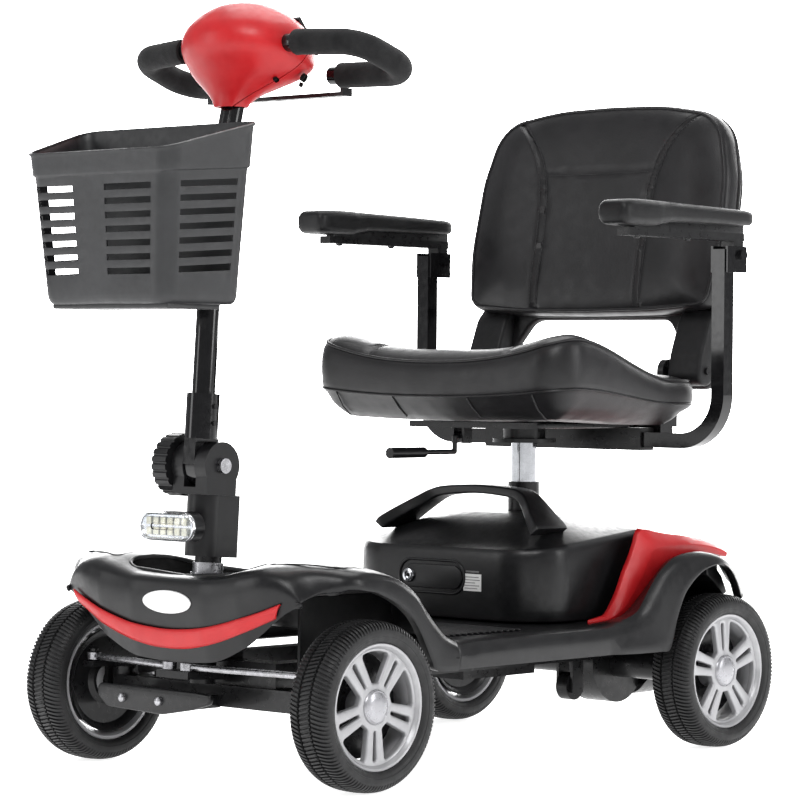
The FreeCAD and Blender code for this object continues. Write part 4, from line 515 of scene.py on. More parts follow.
def tyre_mesh():
    """Solid tyre: fine slanted ribs across the tread, split by two grooves."""
    half = [(-24.6, 74.6, 0), (-27.2, 76.6, 0), (-28.6, 79, 0), (-28.9, 81.6, 0), (-29.6, 82.4, 0),
            (-29.8, 85.5, 0), (-29.6, 88.6, 0), (-29.0, 89.6, 0), (-29.0, 90.4, 0.55), (-28.2, 92.6, 0.9),
            (-26.6, 94.8, 1), (-24.2, 96.7, 1), (-21, 98.1, 1), (-17.5, 98.9, 1), (-14, 99.4, 1),
            (-11.2, 99.7, 1), (-10.6, 99.6, 0.8), (-10.2, 96.2, 0), (-7.6, 96.2, 0), (-7.2, 99.7, 0.8),
            (-6.6, 99.9, 1), (-3.3, 100, 1)]
    section = half + [(0, 100, 1)] + [(-x, r, t) for x, r, t in reversed(half)]
    pitch = 2 * math.pi / RIBS
    steps = ((0.0, 0.0), (0.1, 1.0), (0.56, 1.0), (0.66, 0.0))
    points = []
    for k in range(RIBS):
        for part, height in steps:
            for x, r, tread in section:
                slant = 0.0026 * x if abs(x) > 9 else -0.0026 * x
                a = (k + part) * pitch + slant
                radius = r - 2.3 * tread * (1 - height)
                points.append((x, radius * math.cos(a), radius * math.sin(a)))
    faces = grid_faces(RIBS * len(steps), len(section), wrap_rows=True)
    return centred(build("tyre_shape", points, faces, M["tyre"], None, 32))


def rounded_polygon(corners, steps=5):
    """(u, v, radius) corners as a rounded closed outline."""
    result = []
    count = len(corners)
    for i in range(count):
        here = np.array(corners[i][:2], float)
        a = np.array(corners[i - 1][:2], float) - here
        b = np.array(corners[(i + 1) % count][:2], float) - here
        reach = min(np.linalg.norm(a), np.linalg.norm(b))
        a /= np.linalg.norm(a)
        b /= np.linalg.norm(b)
        radius = corners[i][2]
        half = math.acos(max(-1.0, min(1.0, float(a @ b)))) / 2
        if radius <= 0 or abs(half - math.pi / 2) < 1e-3:
            result.append(here)
            continue
        distance = min(radius / math.tan(half), reach * 0.499)
        radius = distance * math.tan(half)
        middle = here + (a + b) / np.linalg.norm(a + b) * radius / math.sin(half)
        start, end = here + a * distance - middle, here + b * distance - middle
        total = math.acos(max(-1.0, min(1.0, float(start @ end) / radius ** 2)))
        for k in range(steps + 1):
            t = k / steps
            result.append(middle + (math.sin((1 - t) * total) * start + math.sin(t * total) * end)
                          / math.sin(total))
    return np.array(result)


def rim_mesh():
    """Cast rim: five double spokes that flare out from the hub."""
    windows = []
    step = 2 * math.pi / SPOKES
    for k in range(SPOKES):
        middle = step * (k + 0.5)
        arc = [(64.6 * math.cos(math.radians(t)), 64.6 * math.sin(math.radians(t)))
               for t in np.linspace(-21, 21, 7)]
        corners = [(27.5, -5.4, 3.5)] + [(u, v, 7 if i in (0, 6) else 60) for i, (u, v) in enumerate(arc)]
        corners += [(27.5, 5.4, 3.5)]
        outline = rounded_polygon(corners)
        c, s = math.cos(middle), math.sin(middle)
        windows.append(outline @ np.array([[c, s], [-s, c]]))
        c, s = math.cos(step * k), math.sin(step * k)
        slot = rounded_polygon([(28, -1.9, 1.7), (62.5, -3.3, 3), (62.5, 3.3, 3), (28, 1.9, 1.7)])
        windows.append(slot @ np.array([[c, s], [-s, c]]))
    face = plate("rim_face", circle(69.5, 120), windows,
                 lambda p: np.c_[p[:, 2] + 14.5, p[:, 0], p[:, 1]], 10, 2.6,
                 M["rim"], None, 40)
    barrel = turned("rim_barrel",
                    [(65.5, 13), (66.8, 17.5), (68.5, 21.5), (70.8, 24.2), (73.4, 24.8), (74.4, 23.6),
                                   (74.2, 21), (71.5, 18), (70.5, 8), (66.5, 0), (66.5, -12), (72, -20),
                                   (74.4, -23), (73, -24.8), (70, -24), (63.5, -12), (63.5, 6), (65.5, 13)],
                    (0, 0, 0), (1, 0, 0), M["rim"], None, 120)
    hub = turned("rim_hub",
                 [(12, -22), (20, -20), (24, 6), (27.5, 13), (27.2, 17.4), (25, 19.3), (21.6, 19.6),
                             (21.2, 17.8), (0.01, 17.8)], (0, 0, 0), (1, 0, 0), M["rim"], None, 72)
    mesh = join("rim_shape", [face, barrel, hub]).data
    return centred([thing for thing in bpy.data.objects if thing.data is mesh][0])


TYRE, RIM = tyre_mesh(), rim_mesh()
CAP = centred(turned("cap_shape",
                     [(21, 15), (21, 18.8), (20.2, 21.2), (18.4, 22.6), (17.6, 22.4), (16.6, 23),
                                   (12, 24.4), (6, 25), (0.01, 25.1)], (0, 0, 0), (1, 0,
                                                                                   0), M["cap"], None, 72))
DRUM = centred(turned("drum_shape",
                      [(0.01, -9), (26, -9), (30, -6), (52, -6), (61.5, -9), (62.5, -13), (64, -22),
                                     (60, -21), (54, -15), (30, -14), (24, -19), (0.01, -19)], (0, 0,
                                                                                                0), (1, 0,
                                                                                                     0),
                      M["steel"], None, 64))
for place, side, roll in (("front", "left", 54), ("front", "right", 20), ("rear", "left", 95),
                          ("rear", "right", -10)):
    label = place + "_" + side
    centre = ((TRACK if side == "left" else -TRACK), (-AXLE if place == "front" else AXLE), AXLE_Z)
    body = "wheel_" + label
    place_at(TYRE, "tread_" + label, centre, side == "right", roll, M["tyre"], body, ("tyre_" + label,))
    place_at(RIM, "cast_rim_" + label, centre, side == "right", roll, M["rim"], body, ("rim_" + label,))
    place_at(CAP, "hub_cap_" + label, centre, side == "right", roll, M["cap"], body)
    place_at(DRUM, "drum_" + label, centre, side == "right", roll, M["steel"], body)
    if place == "rear":
        low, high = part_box("rim_rear_left")
        inner = max(low.x / MM, 60)
        sign = 1 if side == "left" else -1
        turned("half_shaft_" + side,
               [(0.01, inner), (11, inner), (11, 196), (18, 198), (18, 206), (0.01, 206)],
               (0, centre[1], AXLE_Z), (sign, 0, 0), M["zinc"], body, 40)


# ------------------------------------------------------------------ front shroud
def fill(table, at):
    """A table {x: [(y, z), ...]} interpolated at a position, without overshoot."""
    keys = sorted(table)
    values = np.array([table[k] for k in keys], float)
    flat = values.reshape(len(keys), -1)
    tangent = np.zeros_like(flat)
    for i in range(1, len(keys) - 1):
        d0 = (flat[i] - flat[i - 1]) / (keys[i] - keys[i - 1])
        d1 = (flat[i + 1] - flat[i]) / (keys[i + 1] - keys[i])
        with np.errstate(divide="ignore", invalid="ignore"):
            mean = np.where(d0 * d1 > 0, 2 * d0 * d1 / (d0 + d1), 0.0)
        tangent[i] = np.nan_to_num(mean)
    tangent[-1] = (flat[-1] - flat[-2]) / (keys[-1] - keys[-2])
    i = max(0, min(len(keys) - 2, int(np.searchsorted(keys, at, side="right")) - 1))
    h = keys[i + 1] - keys[i]
    t = (at - keys[i]) / h
    out = ((2 * t ** 3 - 3 * t ** 2 + 1) * flat[i] + (t ** 3 - 2 * t ** 2 + t) * h * tangent[i]
           + (-2 * t ** 3 + 3 * t ** 2) * flat[i + 1] + (t ** 3 - t ** 2) * h * tangent[i + 1])
    return out.reshape(values.shape[1:])


# Sections of the shroud by distance from the middle: from the bottom lip up the nose,
# over the top and down to the deck.
SHROUD = {
    0: [(-419, 141), (-426, 165), (-433, 196), (-435, 220), (-432, 236), (-424, 242), (-412, 243),
        (-396, 244),
        (-367, 248), (-345, 250), (-317, 248), (-291, 244), (-262, 238), (-240, 228), (-218, 205), (-202,
                                                                                                    184),
        (-190, 172), (-178, 168)],
    60: [(-420, 144), (-427, 167), (-434, 197), (-436, 221), (-433, 237), (-425, 243), (-413, 245),
         (-396, 246),
         (-367, 251), (-345, 252), (-317, 250), (-291, 246), (-262, 239), (-240, 229), (-218, 207), (-202,
                                                                                                     185),
         (-190, 172), (-178, 168)],
    120: [(-425, 165), (-432, 184), (-438, 206), (-441, 226), (-439, 243), (-432, 251), (-421, 255),
          (-400, 258),
          (-372, 262), (-345, 262), (-317, 259), (-291, 255), (-262, 249), (-238, 243), (-214,
                                                                                         232), (-198, 206),
          (-188, 178), (-178, 168)],
    150: [(-430, 184), (-436, 198), (-442, 215), (-446, 233), (-444, 247), (-438, 254), (-425, 259),
          (-400, 262),
          (-372, 264), (-345, 263), (-317, 260), (-294, 256), (-262, 250), (-235, 244), (-208,
                                                                                         235), (-194, 212),
          (-186, 181), (-178, 168)],
    190: [(-440, 208), (-444, 215), (-447, 225), (-449, 236), (-447, 246), (-441, 252), (-427, 257),
          (-400, 261),
          (-372, 263), (-345, 262), (-317, 259), (-291, 255), (-264, 248), (-240, 239), (-216,
                                                                                         222), (-200, 199),
          (-189, 177), (-178, 168)],
    215: [(-447, 213), (-449, 217), (-451, 223), (-452, 230), (-450, 237), (-445, 243), (-430, 249),
          (-402, 256),
          (-372, 259), (-345, 258), (-317, 255), (-291, 251), (-266, 243), (-245, 231), (-224,
                                                                                         210), (-206, 190),
          (-192, 174), (-178, 167)],
    231: [(-451, 216), (-452, 218), (-453, 221), (-453, 224), (-452, 228), (-448, 232), (-434, 238),
          (-403, 249),
          (-370, 254), (-345, 254), (-317, 252), (-291, 247), (-269, 238), (-249, 225), (-231,
                                                                                         205), (-213, 187),
          (-198, 174), (-180, 166)],
    237: [(-452, 217), (-453, 218), (-454, 219), (-454, 220), (-453, 221), (-449, 223), (-436, 229),
          (-404, 243),
          (-369, 248), (-345, 248), (-317, 246), (-291, 241), (-270, 231), (-250, 217), (-233,
                                                                                         196), (-215, 179),
          (-200, 168), (-181, 160)],
}
ARCH = [(-453, 216.5), (-454, 217), (-454, 217.5), (-454, 218), (-454, 218.5), (-451, 219.5), (-438, 224),
        (-406, 230), (-370, 232.5), (-345, 233), (-319, 228.5), (-291, 217), (-266, 201), (-249,
                                                                                           181), (-238,
                                                                                                  163),
        (-228, 146), (-219, 134), (-181, 132)]
ROWS = 76
NOSE_ROWS = 20
SMOOTHINGS = 30

# The nose is drawn straight above, then its corners are swept back: inward and rearward
# shifts by distance from the middle.
SWEEP_X = ((0, 0), (60, 0), (120, 2), (150, 5), (174, 9), (190, 15), (215, 27), (231, 36), (240, 40))
SWEEP_Y = ((0, 0), (60, 0), (120, 7), (150, 15), (174, 21), (190, 26), (215, 35), (231, 41.5), (240, 44))


def column(x):
    return smooth_path(fill(SHROUD, x), ROWS)


def swept(points):
    """Sweeps the front corners of the nose back."""
    points = np.array(points, float)
    size = np.abs(points[..., 0])
    share = np.clip((-368 - points[..., 1]) / 74, 0, 1)
    share = share * share * (3 - 2 * share)
    inward = np.interp(size, *zip(*SWEEP_X)) * share
    points[..., 1] += np.interp(size, *zip(*SWEEP_Y)) * share
    points[..., 0] -= np.sign(points[..., 0]) * inward
    return points


def shroud():
    steps = list(np.arange(0, 120, 6)) + list(np.arange(120, 210, 5)) + list(np.arange(210, 231, 3)) + [
        231, 233, 235, 236.2, 237]
    columns = [np.c_[np.full(ROWS, x), column(x)] for x in steps]
    edge, arch = column(237), smooth_path(ARCH, ROWS)
    for share, x in ((0.12, 238), (0.3, 238.6), (0.55, 239), (0.8, 239.4), (0.93, 239.2), (1.0, 238)):
        columns.append(np.c_[np.full(ROWS, x), edge * (1 - share) + arch * share])
    columns.append(np.c_[np.full(ROWS, 234.5), arch])
    columns.append(np.c_[np.full(ROWS, 228.0), arch + (0, 0.6)])
    half = np.array(columns)
    other = half[1:][::-1].copy()
    other[:, :, 0] *= -1
    grid = swept(np.concatenate([other, half]))
    for _ in range(SMOOTHINGS):
        calm = grid.copy()
        calm[1:-1, 1:-1] = (grid[2:, 1:-1] + grid[:-2, 1:-1] + grid[1:-1, 2:] + grid[1:-1, :-2]) / 4
        calm[1:-1, 0] = (grid[2:, 0] + grid[:-2, 0]) / 2
        share = np.clip((-345 - grid[..., 1]) / 40, 0, 1) * np.clip((np.abs(grid[..., 0]) - 152) / 25, 0, 1)
        grid += (calm - grid) * share[..., None]
    return grid


surface_grid = shroud()
count_x, count_r = surface_grid.shape[:2]
cover = build("shroud_skin", surface_grid.reshape(-1, 3), grid_faces(count_x, count_r), M["abs"],
              "chassis", 40,
              ("front_shroud",))
modify(cover, "SOLIDIFY", thickness=3 * MM, offset=-1.0, use_even_offset=False)


def height_at(x, y):
    """Height of the shroud top at a plan position."""
    line = column(min(abs(x), 236.9))
    top = line[NOSE_ROWS:]
    return float(np.interp(y, top[:, 0], top[:, 1]))


def nose_y(x, z):
    """How far forward the swept nose face is at a height."""
    tries = np.array([[k, -445.0, 0.0] for k in np.arange(0, 240, 2.0)])
    start = float(np.interp(abs(x), swept(tries)[:, 0], tries[:, 0]))
    line = column(start)
    front = line[:NOSE_ROWS]
    y = float(np.interp(z, front[:, 1], front[:, 0]))
    return float(swept([(start, y, z)])[0, 1])


STEM = rounded_polygon([(-112, -404, 26), (112, -404, 26), (104, -300, 34), (-104, -300, 34)], 10)
carve(cover, prism("stem_cutter", STEM, 190, 330))
sharpen(cover.data, 40)
rim_path = []
for k in range(len(STEM)):
    for t in (0, 0.5):
        u, v = STEM[k] * (1 - t) + STEM[(k + 1) % len(STEM)] * t
        rim_path.append((u, v, height_at(u, v) - 1.6))
tube("stem_opening_rim", rim_path, 2.6, M["abs"], "chassis", 12, closed=True)
lower = [(x, y, z - 26) for x, y, z in rim_path]
ring = np.array(rim_path)
# painted shade: a near-black wall down inside the stem opening stands for the shade in the hole
build("stem_opening_wall", np.r_[ring - (0, 0, 0.4), np.array(lower) * (0.985, 1, 1)],
      grid_faces(2, len(ring), wrap_columns=True), M["dark"], "chassis", 50)


def smile():
    """The red strip and its pointed ends, lying on the nose."""
    low = mirrored([(-166, 203.5), (-150, 196.5), (-120, 184), (-90, 173.5), (-60, 165.5), (-30, 160.5),
                    (0, 159)])
    high = mirrored([(-176, 218), (-152, 209), (-120, 199), (-90, 191), (-60, 185), (-30, 181.8),
                     (0, 180.5)])
    along, across = 97, 7
    low, high = smooth_path(low, along), smooth_path(high, along)
    points = []
    for a, b in zip(low, high):
        for t in np.linspace(0, 1, across):
            x, z = a * (1 - t) + b * t
            swell = 2.6 - 1.8 * abs(2 * t - 1) ** 3
            points.append((x, nose_y(x, z) - swell, z))
    strip = build("red_strip", points, grid_faces(along, across), M["red"], "chassis", 40, ("nose_strip",))
    modify(strip, "SOLIDIFY", thickness=3 * MM, offset=1.0)
    if strip.data.polygons[0].normal.y > 0:
        strip.data.flip_normals()


smile()
badge_rows = []
for grow, out in ((1.0, 0.2), (1.0, 1.6), (0.965, 2.3), (0.9, 2.5), (0.86, 2.1), (0.6, 2.1), (0.3, 2.1),
                  (0.01, 2.1)):
    ring = []
    for a in np.linspace(0, 2 * math.pi, 64, endpoint=False):
        x, z = 3 + 40.5 * grow * math.cos(a), 213 + 13.7 * grow * math.sin(a)
        ring.append((x, nose_y(x, z) - out, z))
    badge_rows.append(ring)
loft("nose_badge", badge_rows, M["badge"], "chassis", cap=False, angle=30)
for sign in (1, -1):
    corners = [(128, -398), (205, -372), (211, -352), (196, -300), (150, -262), (138, -268)]
    panel = rounded_polygon([(x, y, 8) for x, y in corners], 5)
    path = []
    for k in range(len(panel)):
        for t in np.linspace(0, 1, 6, endpoint=False):
            u, v = panel[k] * (1 - t) + panel[(k + 1) % len(panel)] * t
            path.append((sign * u, v, height_at(u, v) - 0.35))
    # painted shade: a thin near-black line along the panel groove stands for the shade in it
    tube("fender_groove_" + side_name(sign), path, 0.9, M["dark"], "chassis", 6, closed=True)


# ------------------------------------------------------------------ deck, sills and rear fenders
SILL_TOP = [(-190, 163), (-181, 164), (-150, 167), (-103, 168), (-28, 169), (60, 169), (100, 170),
            (124, 172)]
REAR_IN = [(124, 169), (150, 169.5), (172, 171), (195, 176), (226, 194), (247, 213), (267, 233), (299, 247),
           (331, 252), (353, 252), (378, 247), (396, 236)]
REAR_EDGE = [(124, 172), (150, 177), (172, 186), (190, 207), (210, 229), (232, 244), (253, 252), (293, 256),
             (330, 251), (354, 240), (374, 222), (388, 196)]
REAR_LIP = [(124, 133), (165, 132), (205, 132), (226, 135), (239, 171), (250, 194), (262, 210), (291, 230),
            (326, 238.5), (348, 233), (364, 216), (376, 192)]


def side_shell():
    """Deck, sill and rear fender in one skin, from the middle outwards."""
    deck = []
    for y in list(np.arange(-186, 124, 10)):
        edge = float(np.interp(y, [p[0] for p in SILL_TOP], [p[1] for p in SILL_TOP]))
        deck.append([(0, y, 168), (120, y, 168), (196, y, 168), (206, y, 168), (209, y, edge),
                     (222, y, edge),
                     (231, y, edge - 0.6), (235.5, y, edge - 3), (238, y, edge - 8), (238.8, y, edge - 16),
                     (239, y, (edge + 133) / 2), (238.6, y, 138), (236, y, 133), (231, y, 132.5),
                     (228, y, 134)])
    number = 50
    a, b, c = smooth_path(REAR_IN, number), smooth_path(REAR_EDGE, number), smooth_path(REAR_LIP, number)
    rear = []
    for i in range(number):
        t = min(1.0, i / 10)
        mid = a[i] * 0.5 + b[i] * 0.5
        lift = a[i] * 0.22 + b[i] * 0.78
        row = [(0, a[i][0], 168), (120, a[i][0], 168), (186, a[i][0], min(a[i][1], 168 + t * 90)),
               (192, a[i][0], a[i][1]), (206, *(mid + (0, 1.2))), (222, *(lift + (0, 1.0))),
               (230, *(b[i] + (0, 0.2))), (235, *(b[i] * 0.93 + c[i] * 0.07)), (237.6,
                                                                                *(b[i] * 0.8 + c[i] * 0.2)),
               (239, *(b[i] * 0.6 + c[i] * 0.4)), (240.5, *(b[i] * 0.25 + c[i] * 0.75)),
               (241.6, *(b[i] * 0.1 + c[i] * 0.9)), (241, *c[i]), (236, *c[i]), (229, *(c[i] + (0, 1)))]
        rear.append(row)
    return np.array(deck + rear)


shell = side_shell()
rows = len(shell)
mirror_part = shell[:, 1:][:, ::-1].copy()
mirror_part[:, :, 0] *= -1
whole = np.concatenate([mirror_part, shell], axis=1)
skin = build("deck_and_fenders", whole.reshape(-1, 3), grid_faces(rows, whole.shape[1]), M["abs"],
             "chassis", 34,
             ("deck_shell", "rear_fenders"))
modify(skin, "SOLIDIFY", thickness=2.5 * MM, offset=-1.0)
for y in np.arange(-170, -20, 11.0):
    solid_box("deck_rib_%d" % round(y + 200), (-200, y, 167.4), (200, y + 4.6, 171.2), M["abs"],
              "chassis", 1.2)
solid_box("rear_tub", (-196, 170, 134), (196, 396, 166), M["abs_rough"], "chassis", 6)
solid_box("rear_panel", (-190, 378, 150), (190, 397, 243), M["abs_rough"], "chassis", 8)


# ------------------------------------------------------------------ red rear cover
def red_cover():
    front = [(124, 171), (144, 173.5), (160, 178), (176, 196), (187, 214), (196, 232), (207, 249),
             (216, 266),
             (226, 285), (256, 281), (282, 277), (309, 274), (335, 270), (356, 267), (378, 262), (394, 256),
             (402, 250)]
    edge = [(124, 169.6), (145, 169.8), (165, 170.5), (195, 176), (212, 183.5), (226, 194), (238, 204),
            (249, 216),
            (267, 234), (284, 243), (299, 248), (315, 252), (331, 254), (353, 253), (374, 251), (392, 248),
            (405, 246)]
    number = 81
    f, o = smooth_path(front, number), smooth_path(edge, number)
    start = number // 2
    side = []
    for i in range(number):
        t = min(1.0, i / 14)
        row = []
        for share, x in ((0, 184), (0.04, 188), (0.25, 191.5), (0.48, 194.5), (0.52, 194.5), (0.8, 193.6),
                         (0.96, 193), (1, 190)):
            y, z = f[i] * (1 - share) + o[i] * share
            row.append((186 + (x - 186) * t, y, z))
        side.append(row)
    grid = np.array(side)
    pieces = []
    for sign in (1, -1):
        flipped = grid * (sign, 1, 1)
        pieces.append(build("red_side", flipped.reshape(-1, 3), grid_faces(number, grid.shape[1]), M["red"],
                            "chassis", 24))
    top = []
    for x in np.linspace(-184, 184, 47):
        line = []
        back_shift = 62 * (1 - (abs(x) / 184) ** 10)
        for i in range(start, number):
            y, z = f[i]
            t = (i - start) / (number - 1 - start)
            crown = 5.0 * (1 - (x / 184) ** 2)
            line.append((x, y + back_shift * (1 - t), z + crown - 7 * (1 - t) * (1 - (abs(x) / 184) ** 6)))
        line.append((x, 406, 247 + 5.0 * (1 - (x / 184) ** 2)))
        line.append((x, 405, 240))
        top.append(line)
    top = np.array(top)
    pieces.append(build("red_top", top.reshape(-1, 3), grid_faces(top.shape[0], top.shape[1]), M["red"],
                        "chassis",
                        30))
    whole_cover = join("red_rear_cover", pieces)
    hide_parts("rear_cover")
    modify(whole_cover, "SOLIDIFY", thickness=2.5 * MM, offset=-1.0)
    return whole_cover


red_cover()


# ------------------------------------------------------------------ guard under the nose
guard = rounded_polygon([(-152, 105, 7), (-154, 90, 10), (-136, 77, 12), (-40, 74, 60), (12, 83, 30),
                         (44, 92, 8),
                         (44, 103, 5), (16, 105, 20)], 8)
plate("guard_face", guard, [], lambda p: np.c_[p[:, 0], -400 - p[:, 2], p[:, 1]], 7, 2.8, M["steel"],
      "chassis", 40,
      ("guard_plate",))
for k, x in enumerate((-107, -43)):
    turned("guard_bolt_%d" % k, [(0.01, 5), (3.4, 4.8), (5.0, 3.6), (5.6, 1.2), (5.6, 0)],
           (x, -403.4, 90), (0, -1, 0),
           M["zinc"], "chassis", 24)
for k, x in enumerate((-140, -8)):
    solid_box("guard_stay_%d" % k, (x, -398, 82), (x + 12, -346, 98), M["steel"], "chassis", 1.5)

for sign in (1, -1):
    low_x, high_x = sorted((sign * 136, sign * 141))
    solid_box("front_wheel_well_" + side_name(sign), (low_x, -352, 114), (high_x, -190, 222),
              M["abs_rough"], "chassis", 1.5)
    lining = rounded_polygon([(338, 236, 3), (354, 236, 4), (371, 220, 4), (383, 198, 3), (373, 196, 3),
                              (353, 214, 4),
                              (338, 223, 3)], 4)
    plate("fender_lining_" + side_name(sign), lining, [],
          lambda p, sign=sign: np.c_[sign * (190 + p[:, 2]), p[:, 0],
                                     p[:, 1]], 46, 1.5, M["abs"], "chassis", 35)


# ------------------------------------------------------------------ battery
CASE = rounded_polygon([(-170, 82, 55), (-122, 45, 70), (122, 45, 70), (170, 82, 55), (161, 284, 26),
                        (-161, 284, 26)], 10)
CASE_MIDDLE = np.array([0, 165.0])


def case_ring(scale, height):
    plan = CASE_MIDDLE + (CASE - CASE_MIDDLE) * scale
    return [(x, y, height(x, y)) for x, y in plan]


def case_edge(y):
    return 261 + (y - 59) * 0.1


def case_crown(y):
    return float(np.interp(y, (44, 59, 80, 110, 145, 217, 262, 284),
                           (268, 274, 285, 297, 304, 304, 296, 285)))


def battery_case():
    rings = [case_ring(0.955, lambda x, y: 170.4), case_ring(0.975, lambda x, y: 171.5),
             case_ring(0.985, lambda x, y: 175), case_ring(0.992, lambda x, y: 186),
             case_ring(1.0, lambda x, y: 222), case_ring(0.999, lambda x, y: 244)]
    for scale, drop in ((0.995, -9), (0.991, -4.5), (0.983, -1.2), (0.97, 1.6)):
        rings.append(case_ring(scale, lambda x, y: case_edge(y) + drop))
    for scale in (0.955, 0.93, 0.9, 0.86, 0.8, 0.72, 0.62, 0.5, 0.36, 0.2, 0.08):
        share = 1 - (scale / 0.972) ** 2.6

        def dome(x, y):
            return case_edge(y) + 1.6 + (case_crown(y) - case_edge(y) - 1.6) * share
        rings.append(case_ring(scale, dome))
    thing = loft("battery_shell", rings, M["abs"], "battery", angle=36, replaces=("battery_case",))
    notch = rounded_polygon([(-26, 190, 25.9), (26, 190, 25.9), (26, 300, 0), (-26, 300, 0)], 12)
    carve(thing, prism("notch", notch, 160, 330))
    sharpen(thing.data, 36)


def face_y(z):
    return float(np.interp(z, (175, 186, 222, 244, 256), (46.8, 46, 45, 45.1, 45.8)))


def strap(name, rings, material, body, replaces=()):
    """A rounded strap from (x, y, z, half width, thickness) stations, wide along Y."""
    stations = smooth_path(rings, 60)
    centre = stations[:, :3]
    tangent = np.gradient(centre, axis=0)
    tangent[:, 1] = 0
    tangent /= np.linalg.norm(tangent, axis=1)[:, None]
    loops = []
    for i in range(len(stations)):
        normal = np.array([-tangent[i, 2], 0, tangent[i, 0]])
        if normal[2] < 0:
            normal = -normal
        section = round_rect(stations[i, 3], stations[i, 4] / 2, 3.2, 4)
        loops.append(centre[i] + section[:, :1] * np.array([0, 1.0, 0]) + section[:, 1:] * normal)
    return loft(name, loops, material, body, angle=40, replaces=replaces)


battery_case()
strap("carry_handle",
      mirrored([(-134, 109, 284, 31, 16), (-130, 110, 289, 30, 16), (-112, 117, 302, 25, 15.5),
                                (-92, 127, 316, 19, 15), (-76, 133, 325.5, 16, 14), (-54, 134.5, 331, 15,
                                                                                     12.5),
                                (0, 135, 334, 14, 11.5)]), M["abs"], "battery", ("battery_handle",))


def stadium(half_long, half_tall, centre, steps=16):
    return round_rect(half_long, half_tall, half_tall, steps) + centre


panel = stadium(56, 21, (-8, 223))
tube("port_ring", [(u, face_y(v) - 0.2, v) for u, v in panel], 1.8, M["abs"], "battery", 10, closed=True)
inner = stadium(50, 15.5, (-6, 223))
plate("port_cover", inner, [], lambda p: np.c_[p[:, 0], 44.2 - p[:, 2], p[:, 1]], 3, 1.1, M["abs"],
      "battery", 35)
turned("port_lock",
       [(0.01, 2.2), (2.6, 2.2), (2.8, 3.0), (4.6, 3.2), (5.2, 2.2), (5.6, 4.6), (8.6, 4.2), (9.4, 2.6),
                     (9.6, -3)], (-46, 44, 223), (0, -1, 0), M["chrome"], "battery", 48)
# painted shade: the key slot is coloured near black for the shade inside it
turned("port_key_slot", [(0.01, 3.4), (2.2, 3.4), (2.4, 2.9)], (-46, 44, 223), (0, -1, 0), M["dark"],
       "battery", 20)
solid_box("battery_label", (46, 44.4, 207), (76, 45.6, 229), M["label"], "battery", 0.3)
for k, (left, right) in enumerate(((48, 72), (48, 74), (48, 66), (48, 73), (48, 70))):
    solid_box("label_line_%d" % k, (left, 44.2, 224.4 - 3.6 * k), (right, 44.6, 225.4 - 3.6 * k),
              M["print"],
              "battery", 0.1)
solid_box("label_head", (50, 44.3, 230.6), (72, 45.4, 233), M["print"], "battery", 0.2)


# ------------------------------------------------------------------ seat
def ease(t):
    t = min(1.0, max(0.0, t))
    return t * t * (3 - 2 * t)


def edge_height(x, y):
    """Height of the upper piping of the seat."""
    front = 499 + 31 * (min(abs(x), 215) / 215) ** 2.4
    return front + (477 - front) * ease((y - 62) / 205)


def seat_top(x, y):
    """Height of the sitting surface away from the edge."""
    hollow = 514 - 30 * ease((y - 60) / 200)
    bolster = 25 * (min(abs(x), 205) / 195) ** 3 * (1 - ease((y - 70) / 190))
    return hollow + bolster


def seam_line(y):
    """Half distance between the seams that divide the bolsters from the middle."""
    return 118 + 34 * ease((y - 40) / 160) - 18 * ease((y - 230) / 90)


PLAN = rounded_polygon([(-217, 30, 44), (0, 27, 900), (217, 30, 44), (217, 328, 46), (-217, 328, 46)], 14)


def even(outline, count):
    """A closed outline resampled to even steps."""
    outline = np.asarray(outline, float)
    closed = np.vstack([outline, outline[:1]])
    length = np.r_[0, np.cumsum(np.linalg.norm(np.diff(closed, axis=0), axis=1))]
    at = np.linspace(0, length[-1], count, endpoint=False)
    return np.c_[np.interp(at, length, closed[:, 0]), np.interp(at, length, closed[:, 1])]


def inset(outline, amount):
    """An even closed outline moved inwards."""
    ahead, behind = np.roll(outline, -1, 0), np.roll(outline, 1, 0)
    tangent = ahead - behind
    tangent /= np.linalg.norm(tangent, axis=1)[:, None]
    normal = np.c_[-tangent[:, 1], tangent[:, 0]]
    area = 0.5 * np.sum(outline[:, 0] * ahead[:, 1] - ahead[:, 0] * outline[:, 1])
    return outline + normal * (amount if area > 0 else -amount)


PLAN = even(PLAN, 260)


def middle_seam(x, y):
    return 455 + 0.36 * (edge_height(x, y) - 499)


HEART = np.array([0, 180.0])


def seat_surface(x, y, x0, y0, scale):
    """Height of the upholstery at a share of the way out to a border point."""
    rim = edge_height(x0, y0)
    z = rim + (seat_top(x, y) - rim) * (1 - scale ** 9) + 3.4 * (1 - scale ** 16) * scale
    z -= 3.4 * math.exp(-((abs(x) - seam_line(y)) / 3.6) ** 2)
    return z + 0.9 * math.sin(x * 0.021 + y * 0.034) * (1 - scale)


def seat_height(x, y):
    """Height of the upholstery at a plan position."""
    border = inset(PLAN, 7.5) - HEART
    angles = np.arctan2(border[:, 1], border[:, 0])
    angle = math.atan2(y - HEART[1], x)
    k = int(np.argmin(np.abs(np.angle(np.exp(1j * (angles - angle))))))
    scale = math.hypot(x, y - HEART[1]) / np.linalg.norm(border[k])
    return seat_surface(x, y, *(border[k] + HEART), min(scale, 1.0))


